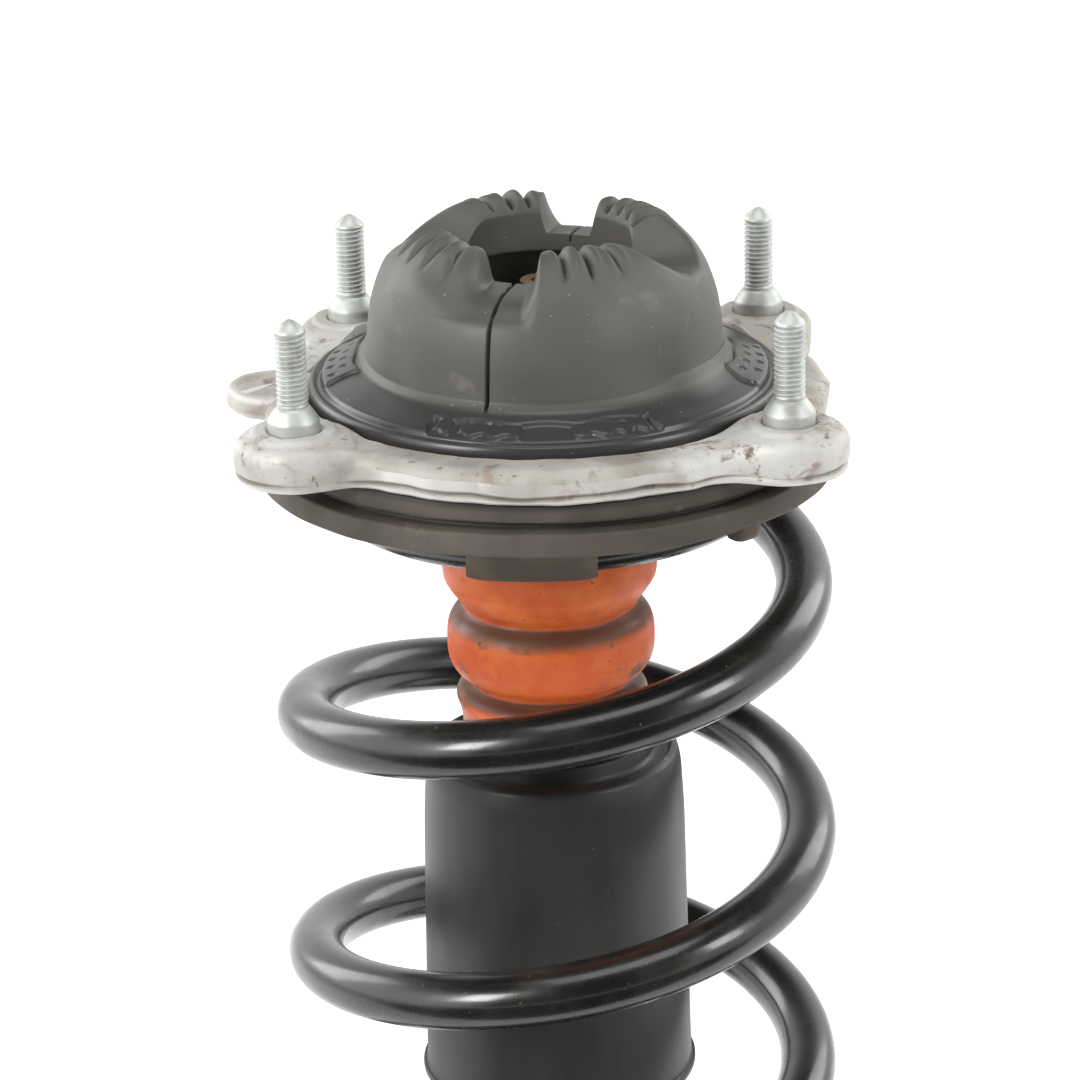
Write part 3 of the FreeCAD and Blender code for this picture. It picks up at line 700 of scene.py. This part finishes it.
def make_plate():
    segments = 900
    angles = np.arange(segments) * TAU / segments
    edge = plate_edge(angles)
    cos, sin = np.cos(angles), np.sin(angles)
    rows = []

    def add_row(radius, z):
        radius = np.broadcast_to(np.asarray(radius, float), (segments,))
        rows.append(np.stack([radius * cos, radius * sin, np.broadcast_to(z, (segments,))], axis=1))

    hub = ((34.0, -33.0), (30.0, -33.0), (30.0, -8.0), (30.6, -7.5), (61.6, -7.5), (62.3, -6.9),
           (62.3, -5.0))
    for r, z in hub:
        add_row(r, z)
    inner = OPENING_R + 1.0 + waves(angles, (0.2, 5, 1.0), (0.15, 17, 0.2))
    rim = edge - 3.4
    for share in np.linspace(0, 1, 34):
        radius = inner + (rim - inner) * share
        x, y = radius * cos, radius * sin
        add_row(radius, plate_top(x, y) + cast_wave(x, y, 9.0, 0.35) + cast_wave(x, y, 3.2, 0.12))
    shoulder = plate_top(rim * cos, rim * sin)
    drop = cast_wave(rim * cos, rim * sin, 7.0, 0.5)
    for back, down in ((2.3, 0.35), (1.3, 1.0), (0.6, 1.8), (0.15, 2.7)):
        add_row(edge - back, shoulder - down + drop * 0.6)
    lip = -10.1 + waves(angles, (0.35, 9, 0.5), (0.22, 21, 1.7))
    add_row(edge, shoulder * 0.35 + lip * 0.65 + 1.2)
    add_row(edge - 0.1, lip + 0.8)
    add_row(edge - 0.9, lip + 0.2)
    add_row(edge - 1.1, lip - 0.2)
    add_row(edge - 0.5, lip - 0.7)
    add_row(edge - 0.5, PLATE_LOW + 0.9)
    add_row(edge - 1.2, PLATE_LOW + 0.2)
    add_row(edge - 2.4, PLATE_LOW)
    for r in (60.0, 47.0, 34.0):
        add_row(r, PLATE_LOW)
    faces = grid_faces(len(rows), segments, close_rows=True, close_columns=True)
    put("cast_plate", np.concatenate(rows), faces, "cast_aluminium", "upper", ["top_plate"])


def make_plate_tab():
    """The round locating tab at the plate's left."""
    segments, x0, radius, low, high = 72, -70.0, 12.8, -9.6, -3.4
    angles = np.arange(segments) * TAU / segments
    profile = [(0.05, low), (radius - 1.2, low), (radius - 0.3, low + 0.7), (radius, low + 2.0),
               (radius, high - 2.0), (radius - 0.4, high - 0.7), (radius - 1.5, high),
               (radius - 4.0, high + 0.1), (0.05, high + 0.1)]
    rows = []
    for r, z in profile:
        r = r + waves(angles, (0.18, 3, 0.4), (0.1, 8, 1.0)) * (r > 1)
        rows.append(np.stack([x0 + r * np.cos(angles), r * np.sin(angles), np.full(segments, z)], axis=1))
    faces = grid_faces(len(rows), segments, close_columns=True)
    faces.append(tuple(range(segments)))
    faces.append(tuple(range(len(rows) * segments - 1, (len(rows) - 1) * segments - 1, -1)))
    put("plate_tab", np.concatenate(rows), faces, "cast_aluminium", "upper")


# ---------------------------------------------------------------- rubber dome
DOME_TURN = -17.0                                # degrees from -Y to the front notch
CREST_Z, BORE_R, LEDGE_Z = 38.6, 23.0, 24.2
NOTCH_FLOOR, NOTCH_HALF = 28.6, 5.6
VALLEY_FLOOR, VALLEY_HALF = 28.6, 2.5
DOME_WALL = [(46.0, 9.5), (45.5, 14.0), (44.7, 19.0), (43.0, 24.5), (40.9, 29.0), (38.2, 32.8), (34.8, 35.9),
             (31.4, 37.9), (28.4, CREST_Z), (25.8, 38.0), (23.9, 36.6), (BORE_R, 34.6)]


def dome_section():
    """Outline of the dome through a lobe, from the rim's foot over the crown and down its bore."""
    foot = rounded(
        [(61.4, -7.4), (61.4, -2.6), (60.5, -1.0), (59.0, -2.2), (58.2, -2.0), (57.6, -0.2), (50.6, 2.3),
         (48.2, 2.9), (46.6, 5.0)],
        [0, 0.9, 0.9, 0.5, 0.5, 1.0, 2.0, 1.6, 1.6], steps=5, closed=False)
    bore = [(BORE_R, 31.0), (BORE_R, LEDGE_Z + 0.5), (BORE_R + 0.4, LEDGE_Z), (27.5, LEDGE_Z - 0.8),
            (29.0, 20.0), (33.0, 12.0), (37.0, 3.5), (38.8, 0.0), (39.4, -7.4), (50.0, -7.4)]
    return foot + curve_through(DOME_WALL, 7) + bore


def resampled(line, count):
    """The same line with even spacing."""
    line = np.array(line, float)
    run = np.concatenate([[0], np.cumsum(np.linalg.norm(np.diff(line, axis=0), axis=1))])
    at = np.linspace(0, run[-1], count)
    return np.stack([np.interp(at, run, line[:, k]) for k in (0, 1)], axis=1)


def turned_from(azimuth, middle_deg):
    """Angles measured from a middle direction, -180 to 180 degrees, in radians."""
    return (azimuth - math.radians(middle_deg) + math.pi) % TAU - math.pi


def notch_surface(radius, azimuth, middle):
    """Notch with a floor that falls away outwards, one steep wall, and one that opens outwards."""
    turn = turned_from(azimuth, middle)
    across = radius * np.sin(turn)
    outward = np.clip(radius - 26.0, 0, 18)
    run = np.where(across > 0, 2.4 + 3.0 * smooth(outward / 16), 2.4 + 15.0 * smooth(outward / 14))
    wall = np.clip(np.abs(across) - NOTCH_HALF, 0, None) / run
    level = NOTCH_FLOOR + 0.4 - 0.05 * (radius - 24.0) - 0.034 * np.clip(radius - 32.0, 0, 14) ** 2
    surface = level + 9.8 * wall ** np.where(across > 0, 1.9, 1.6)
    return np.where(np.cos(turn) > 0, surface, 90.0)


def valley_surface(radius, azimuth, middle):
    """Wide, smooth valley between two lobes."""
    turn = turned_from(azimuth, middle)
    across = np.abs(radius * np.sin(turn))
    wall = np.clip(across - VALLEY_HALF, 0, None) / (10.5 + 2.5 * smooth((radius - 26) / 12))
    surface = VALLEY_FLOOR + 9.6 * wall ** 1.8
    return np.where(np.cos(turn) > 0, surface, 90.0)


def soft_min(a, b, blend):
    near = np.maximum(blend - np.abs(a - b), 0) / blend
    return np.minimum(a, b) - near * near * blend / 4


LOBE_GROOVES = {-61.5: (-19.5, -8.5, 4.5), -147.5: (-18.0, -7.5, 3.5, 14.0)}     # from each lobe's middle


def knuckles(radius, azimuth):
    """Short crescent grooves across each lobe's crown, with rounded knuckles between them."""
    height = np.zeros(radius.shape)
    for half_turn in (0, 180):
        for lobe, (middle, grooves) in enumerate(LOBE_GROOVES.items()):
            turn = np.degrees(turned_from(azimuth, middle + half_turn))
            bend = 1.2 * np.sin((radius - 26) / 12 * math.pi)
            along = smooth((radius - 23.2) / 1.5) * smooth((38.6 - radius) / 5.0)
            for index, groove in enumerate(grooves):
                side = (turn - groove - bend) * math.radians(1) * radius
                depth = 2.0 + 0.5 * math.sin(2.1 * index + lobe)
                cut = np.exp(-np.abs(side / 0.85) ** 1.5)
                shoulder = np.exp(-(np.abs(side) - 2.3) ** 2 / 1.6)
                height += along * ((0.55 + 0.25 * math.sin(1.7 * index)) * shoulder - depth * cut)
    return height


# middle and half width in degrees, inner radius, height
FLANGE_STEPS = ((-2.5, 16.5, 49.0, 0.9), (-89.5, 30.5, 51.6, -1.0))
FLANGE_LUGS = ((-117.0, 2.2), (-104.0, 8.0), (-75.5, 6.5), (-64.0, 2.5))


def flange_detail(radius, azimuth):
    """Two raised plates, two recesses with low lugs, and a few round dimples, on the flange."""
    on_flange = smooth((radius - 48.0) / 1.5) * smooth((58.0 - radius) / 0.5)
    detail = np.zeros(radius.shape)
    for half_turn in (0, 180):
        for middle, half, inner, height in FLANGE_STEPS:
            turn = np.degrees(turned_from(azimuth, middle + half_turn))
            curved = turn + 1.3 * np.sin((radius - 49) / 9 * math.pi)
            patch = smooth((half - np.abs(curved)) / 0.8 + 0.5)
            detail += height * patch * smooth((radius - inner + 0.5 * np.cos(turn * 0.35)) / 0.9 + 0.5)
        for middle, half in FLANGE_LUGS:
            turn = np.degrees(turned_from(azimuth, middle + half_turn))
            lug = smooth((half - np.abs(turn)) / 0.9 + 0.5)
            lug = lug * smooth((56.2 - radius + 0.6 * np.sin(turn)) / 0.8 + 0.5)
            detail += 0.75 * lug * smooth((radius - 52.2) / 0.8 + 0.5)
        for k in range(8):
            middle, ring = -2.5 + half_turn + 3.4 * (k - 3.5), 52.0 + 3.4 * (k % 2)
            dot = np.hypot(radius - ring, radius * turned_from(azimuth, middle))
            detail -= 0.35 * np.exp(-(np.abs(dot - 0.75) / 0.28) ** 2)
    return detail * on_flange


def softened(grid, passes):
    """The same grid, evened out from row to row."""
    for _ in range(passes):
        inner = (grid[:-2] + 2 * grid[1:-1] + grid[2:]) / 4
        grid = np.concatenate([grid[:1], inner, grid[-1:]])
    return grid


def make_dome():
    section = resampled(dome_section(), 340)
    segments = 1200
    angles = np.arange(segments) * TAU / segments
    r = np.repeat(section[:, :1], segments, axis=1)
    z = np.repeat(section[:, 1:], segments, axis=1)
    a = np.repeat(angles[None, :], len(section), axis=0)
    crown = z > LEDGE_Z + 0.3
    z = z + knuckles(r, a) * smooth((z - 30.0) / 4.0)
    cut = z
    for half_turn in (0, 180):
        notch = notch_surface(r, a, -90 + DOME_TURN + half_turn)
        cut = soft_min(cut, notch, 1.8 + 6.0 * smooth((r - 31) / 8))
        cut = soft_min(cut, valley_surface(r, a, DOME_TURN + half_turn), 3.0)
    z = np.where(crown, np.maximum(cut, LEDGE_Z + 0.3), z)
    soft_r, soft_z = softened(r, 90), softened(z, 90)
    for half_turn in (0, 180):
        turn = turned_from(a, -90 + DOME_TURN + half_turn)
        share = np.exp(-(turn / 0.42) ** 4) * smooth((r - 29) / 6) * smooth((z - 10) / 8)
        r, z = r + share * (soft_r - r), z + share * (soft_z - z)
    for half_turn in (0, 180):
        turn = turned_from(a, -90 + DOME_TURN + half_turn)
        across = r * turn + 0.3
        slit = np.exp(-(across / 0.40) ** 4) * smooth((z - 2.6) / 1.0)
        slit = slit * (r > BORE_R - 0.5) * (np.abs(turn) < 1)
        r = r - 2.4 * slit * smooth((r - 36) / 4)
        z = z - 2.2 * slit * smooth((44.5 - r) / 4) * (z > LEDGE_Z + 1)
    low = (z < 8) & (z > -2.5)
    for half_turn in (0, 180):
        flare = np.exp(-(turned_from(a, -22 + half_turn) / 0.55) ** 4)
        rise = 3.4 * flare * np.clip((54.5 - r) / 8.5, 0, 1) ** 2 * smooth((8.0 - z) / 4)
        z = np.where(low, z + rise, z)
    z = np.where(low, z + flange_detail(r, a), z)
    r = r + 0.2 * np.sin(3 * a + 0.6) * smooth((z - 6) / 10) * smooth((36 - z) / 8)
    points = np.stack([r * np.cos(a), r * np.sin(a), z], axis=2).reshape(-1, 3)
    faces = grid_faces(len(section), segments, close_rows=True, close_columns=True)
    put("ribbed_dome", points, faces, "mount_rubber", "upper", ["rubber_dome"])


# ---------------------------------------------------------------- spring and its pads
WIRE_R, COIL_R, TOP_END_R, LOW_END_R = 7.5, 66.3, 52.0, 62.0
COIL_PITCH, TOP_COIL_Z = 70.2, -29.6
TOP_TIP, TOP_FLAT, TOP_FULL, TOP_BEND = 688.0, 560.0, 464.0, 420.0
LOW_FULL, LOW_FLAT, LOW_TIP = -870.0, -1100.0, -1190.0
COIL_BOW, COIL_BARREL = 1.5, 0.8


def coil_height(deg):
    """Height of the wire's centre: flat end coils, easing into an even pitch, as in the CAD."""
    rise = COIL_PITCH / 360
    top_ease, low_ease = TOP_FLAT - TOP_FULL, LOW_FULL - LOW_FLAT
    if deg >= TOP_FULL:
        return TOP_COIL_Z - rise * max(0.0, TOP_FLAT - deg) ** 2 / (2 * top_ease)
    height = TOP_COIL_Z - rise * (top_ease / 2 + TOP_FULL - max(deg, LOW_FULL))
    gone = min(max(0.0, LOW_FULL - deg), low_ease)
    return height - rise * (gone - gone ** 2 / (2 * low_ease))


def coil_radius(deg):
    top = smooth((deg - TOP_BEND) / (TOP_FLAT - TOP_BEND))
    low = smooth((LOW_FULL - deg) / (LOW_FULL - LOW_FLAT))
    return COIL_R + (TOP_END_R - COIL_R) * top + (LOW_END_R - COIL_R) * low


def coil_point(deg):
    """Centre of the wire: the coil's axis bows a little towards +X, and its coils are widest halfway."""
    angle, height, low = math.radians(deg), coil_height(deg), coil_height(LOW_TIP)
    belly = math.sin(math.pi * (height - low) / (TOP_COIL_Z - low))
    radius = coil_radius(deg) + COIL_BARREL * belly
    return radius * math.cos(angle) + COIL_BOW * belly, radius * math.sin(angle), height


def make_spring():
    """Round wire along the coil. Each ring's share of the stroke is worked out, but nothing stores it."""
    sides, step = 28, 3.0
    degs = np.arange(LOW_TIP, TOP_TIP + step / 2, step)
    centres = np.array([coil_point(deg) for deg in degs])
    tangents = np.gradient(centres, axis=0)
    tangents /= np.linalg.norm(tangents, axis=1)[:, None]
    outward = np.stack([centres[:, 0], centres[:, 1], np.zeros(len(degs))], axis=1)
    outward -= (outward * tangents).sum(axis=1)[:, None] * tangents
    outward /= np.linalg.norm(outward, axis=1)[:, None]
    upward = np.cross(tangents, outward)
    around = np.arange(sides) * TAU / sides
    rings = []
    chamfer = ((0.0, 0.02), (0.0, 0.80), (0.35, 0.95), (1.2, 1.0))
    ends = [(0, inset, share) for inset, share in chamfer]
    body = [(i, 0.0, 1.0) for i in range(1, len(degs) - 1)]
    tail = [(len(degs) - 1, -inset, share) for inset, share in reversed(chamfer)]
    for index, inset, share in ends + body + tail:
        centre = centres[index] + tangents[index] * inset
        spoke = (np.cos(around)[:, None] * outward[index] + np.sin(around)[:, None] * upward[index])
        rings.append(centre + spoke * WIRE_R * share)
    points = np.concatenate(rings)
    faces = grid_faces(len(rings), sides, close_columns=True)
    faces.append(tuple(range(sides)))
    faces.append(tuple(range(len(rings) * sides - 1, (len(rings) - 1) * sides - 1, -1)))
    spring = put("wound_spring", points, faces, "spring_paint", None, ["coil_spring"])
    top, low = coil_height(TOP_TIP), coil_height(LOW_TIP)
    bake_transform(spring)
    share_by_ring = [(top - ring[:, 2].mean()) / (top - low) for ring in rings]
    set_stroke_share(np.repeat(share_by_ring, sides))


def set_stroke_share(shares):
    """Clips each point's share of the stroke to 0..1; the result is not stored."""
    shares = np.clip(np.asarray(shares, np.float32), 0, 1)


PAD_RIM_LOW = PLATE_LOW - 12.9


def ring_block(r_in, r_out, low, high, middle, width, rim=0.8, steps=14):
    """Points and faces of a rounded block that follows the ring; angles in degrees."""
    section = rounded([(r_in, low), (r_out, low), (r_out, high), (r_in, high)], [rim] * 4, steps=3)
    angles = np.radians(middle + width * (np.linspace(0, 1, steps) - 0.5))
    centre_r, centre_z = (r_in + r_out) / 2, (low + high) / 2
    scales = [0.86, 0.97, *[1.0] * (steps - 4), 0.97, 0.86]
    points = []
    for angle, scale in zip(angles, scales):
        for r, z in section:
            radius = centre_r + (r - centre_r) * scale
            height = centre_z + (z - centre_z) * scale
            points.append((radius * math.cos(angle), radius * math.sin(angle), height))
    sides = len(section)
    faces = grid_faces(steps, sides, close_columns=True)
    faces.append(tuple(range(sides)))
    faces.append(tuple(range(steps * sides - 1, (steps - 1) * sides - 1, -1)))
    return points, faces


def make_upper_pad():
    wire_top = TOP_COIL_Z + WIRE_R + 0.1
    profile = rounded(
        [(34.3, TOP_COIL_Z), (34.3, PLATE_LOW - 0.1), (71.4, PLATE_LOW - 0.1), (71.9, PLATE_LOW - 5.0),
         (69.2, PLATE_LOW - 5.8), (69.2, PLATE_LOW - 6.7), (74.6, PLATE_LOW - 6.9),
         (75.4, PAD_RIM_LOW + 0.6), (74.6, PAD_RIM_LOW), (71.0, PAD_RIM_LOW),
         (69.0, PAD_RIM_LOW + 2.0), (TOP_END_R + 8.2, wire_top - 2.5),
         (TOP_END_R + 4.0, wire_top), (TOP_END_R - 4.0, wire_top), (TOP_END_R - 8.2, TOP_COIL_Z + 2.0),
         (TOP_END_R - 10.0, TOP_COIL_Z)],
        [0.5, 0.3, 1.2, 1.0, 0.8, 1.4, 0.8, 0.8, 1.0, 1.0, 2.0, 1.5, 1.5, 1.5, 0.8])

    def sag(angles, radius, height):
        outer = smooth((radius - 66) / 6)
        wave = waves(angles, (0.22, 3, 0.8), (0.12, 8, 2.0), (0.06, 23, 0.4))
        low_side = 0.5 * np.exp(-(turned_from(angles, -135) / 0.35) ** 2)
        return (radius - 0.15 * outer * (1 + waves(angles, (1.0, 5, 0.3))),
                height + (wave - low_side) * outer * (height < -17))

    lathe("spring_pad_ring", profile, "pad_rubber", "upper", segments=360, shift=sag,
          replaces=["upper_spring_pad"])
    clip = ring_block(69.5, 75.0, PLATE_LOW - 18.8, PAD_RIM_LOW + 2.2, -92.5, 25.0)
    put("pad_clip", *clip, "pad_rubber", "upper", finish="clip_plastic")
    stop = ring_block(69.5, 75.4, PLATE_LOW - 16.2, PAD_RIM_LOW + 2.2, -47.3, 5.4, rim=1.8, steps=8)
    put("pad_stop", *stop, "pad_rubber", "upper", finish="clip_plastic")


# ---------------------------------------------------------------- bumper and dust tube
BUMPER_TOP, BUMPER_LOW, GROOVE_Z, COLLAR_TOP, DUST_LOW = -38.0, -125.0, -106.0, -102.6, -201.0


def bumper_outline():
    outer = curve_through(
        [(26.6, BUMPER_TOP - 2.5), (28.0, -42.5), (28.4, -49.0), (28.3, -55.0), (27.6, -57.6),
         (25.2, -61.2), (23.2, -63.6), (23.4, -65.2), (25.8, -67.2), (27.2, -70.2), (27.5, -75.0),
         (27.1, -79.0), (25.4, -82.2), (22.2, -84.6),
         (21.4, -86.0), (22.3, -86.9), (24.5, -88.2), (25.4, -90.2), (24.6, -93.0),
         (23.9, -97.0), (23.6, GROOVE_Z + 1.2)], 5)
    skirt = curve_through(
        [(24.4, GROOVE_Z - 3.6), (23.2, -112.5), (18.6, -116.5), (18.2, -119.0), (17.4, -122.0),
         (15.0, BUMPER_LOW)], 4)
    top = [(8.0, BUMPER_TOP), (24.6, BUMPER_TOP)]
    groove = [(22.4, GROOVE_Z + 0.5), (22.4, GROOVE_Z - 2.6)]
    return top + outer + groove + skirt + [(8.0, BUMPER_LOW)]


def make_bumper():
    def sag(angles, radius, height):
        wave = waves(angles, (0.12, 2, 0.5), (0.08, 5, 1.4))
        return radius + wave * (radius > 20), height

    bumper = lathe("jounce_foam", bumper_outline(), "bumper_foam", None, segments=192, shift=sag,
                   replaces=["jounce_bumper"])
    slide = {joint["name"]: joint for joint in frame["joints"]}["damper_slide"]
    stroke = slide["range_m"][1] / MM
    striker_top = (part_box("striker_cap")[1].z - PAD_Z) / MM
    squeezed = (striker_top + stroke - BUMPER_LOW) / stroke
    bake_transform(bumper)
    heights = np.array([v.co.z for v in bumper.data.vertices]) / MM - PAD_Z / MM
    # Shares of the stroke for the foam: round the tube's collar it takes the collar's share, and above and below
    # it the share is spread evenly; the shares are not stored.
    collar_share = squeezed * (BUMPER_TOP - GROOVE_Z) / (BUMPER_TOP - BUMPER_LOW)
    set_stroke_share(np.interp(-heights, [-BUMPER_TOP, 98.0, 113.0, -BUMPER_LOW],
                                       [0, collar_share, collar_share, squeezed]))


def make_dust_tube():
    low_in, wall = 35.1, 1.8
    outline = rounded(
        [(22.8, GROOVE_Z - 2.0), (22.8, GROOVE_Z - 0.1), (24.5, GROOVE_Z + 1.0), (24.5, COLLAR_TOP),
         (25.8, COLLAR_TOP), (26.2, GROOVE_Z + 2.0), (27.2, GROOVE_Z - 1.2),
         (30.2, GROOVE_Z - 1.9), (31.2, GROOVE_Z - 0.9),
         (31.7, GROOVE_Z + 0.3), (33.4, GROOVE_Z - 0.9), (34.3, GROOVE_Z - 5.0), (35.0, GROOVE_Z - 18.0),
         (36.3, DUST_LOW + 3.6), (36.4, DUST_LOW + 2.6), (37.4, DUST_LOW + 2.2), (37.4, DUST_LOW + 0.6),
         (36.9, DUST_LOW), (low_in, DUST_LOW), (low_in - 0.6, DUST_LOW + 6.5), (34.3 - wall, GROOVE_Z - 8.5),
         (30.6, GROOVE_Z - 3.8), (27.4, GROOVE_Z - 3.8), (26.2, GROOVE_Z - 2.0)],
        [0.4, 0.5, 0.6, 0.6, 0.6, 1.0, 2.4, 1.0, 0.6, 0.4, 1.6, 4.0, 4.0, 0.6, 0.4, 0.5, 0.4, 0.4, 0.6, 1.0,
         2.0, 1.2, 0.8, 0.5], steps=6)

    def wobble(angles, radius, height):
        wave = waves(angles, (0.10, 2, 1.0), (0.05, 6, 0.2))
        return radius + wave * smooth((-112 - height) / 20), height

    lathe("dust_cover", outline, "dust_plastic", "dust_shield", segments=240, shift=wobble,
          replaces=["dust_tube"])


# ---------------------------------------------------------------- lower end
def weld_bead(name, path, size, ripple):
    """A fillet weld along a closed path of points, with the ripples of its passes."""
    path = np.array(path, float)
    count, sides = len(path), 14
    ahead = np.roll(path, -1, axis=0) - np.roll(path, 1, axis=0)
    ahead /= np.linalg.norm(ahead, axis=1)[:, None]
    outward = np.stack([path[:, 0], path[:, 1], np.zeros(count)], axis=1)
    outward -= (outward * ahead).sum(axis=1)[:, None] * ahead
    outward /= np.linalg.norm(outward, axis=1)[:, None]
    upward = np.cross(ahead, outward)
    run = np.cumsum(np.linalg.norm(np.roll(path, -1, axis=0) - path, axis=1))
    rings = []
    for i in range(count):
        phase = (run[i] / ripple) % 1.0
        swell = size * (0.86 + 0.20 * (1 - phase) ** 1.5 + 0.05 * math.sin(run[i] * 0.9))
        turns = [TAU * k / sides for k in range(sides)]
        spokes = [outward[i] * math.cos(turn) + upward[i] * math.sin(turn) for turn in turns]
        rings.append(path[i] + np.array(spokes) * swell)
    faces = grid_faces(count, sides, close_rows=True, close_columns=True)
    put(name, np.concatenate(rings), faces, "tube_paint", "lower")


def make_welds():
    tube_r = (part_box("damper_tube")[1].x) / MM
    seat_low = (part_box("seat_ring")[0].z - PAD_Z) / MM
    tube_low = (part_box("damper_tube")[0].z - PAD_Z) / MM
    steps = 420
    angles = np.arange(steps) * TAU / steps
    circle = np.stack([np.cos(angles), np.sin(angles), np.zeros(steps)], axis=1)
    weld_bead("seat_weld", circle * (tube_r + 0.9) + (0, 0, seat_low - 0.4), 1.9, 2.6)
    weld_bead("base_weld", circle * (tube_r - 0.1) + (0, 0, tube_low + 0.2), 1.5, 2.4)
    eye_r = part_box("lower_eye")[1].x / MM
    neck_r = 15.6
    x, y = neck_r * np.cos(angles), neck_r * np.sin(angles)
    saddle = np.stack([x, y, np.sqrt((eye_r + 0.4) ** 2 - x ** 2) - PAD_Z / MM], axis=1)
    weld_bead("eye_weld", saddle, 2.2, 2.8)


# ---------------------------------------------------------------- CAD nodes that stay
def finish_cad_nodes():
    """Each CAD node that is still shown takes the material of its own slot."""
    slots = {part["node"]: part["material_slot"] for part in frame["record"]["subparts"]}
    for name, node in frame["nodes"].items():
        node.data.materials.clear()
        node.data.materials.append(MATERIALS[slots[name]])


make_camera()
make_stage()
MATERIALS = make_materials()
finish_cad_nodes()
make_studs()
make_plate()
make_plate_tab()
make_dome()
make_upper_pad()
make_spring()
make_bumper()
make_dust_tube()
make_welds()
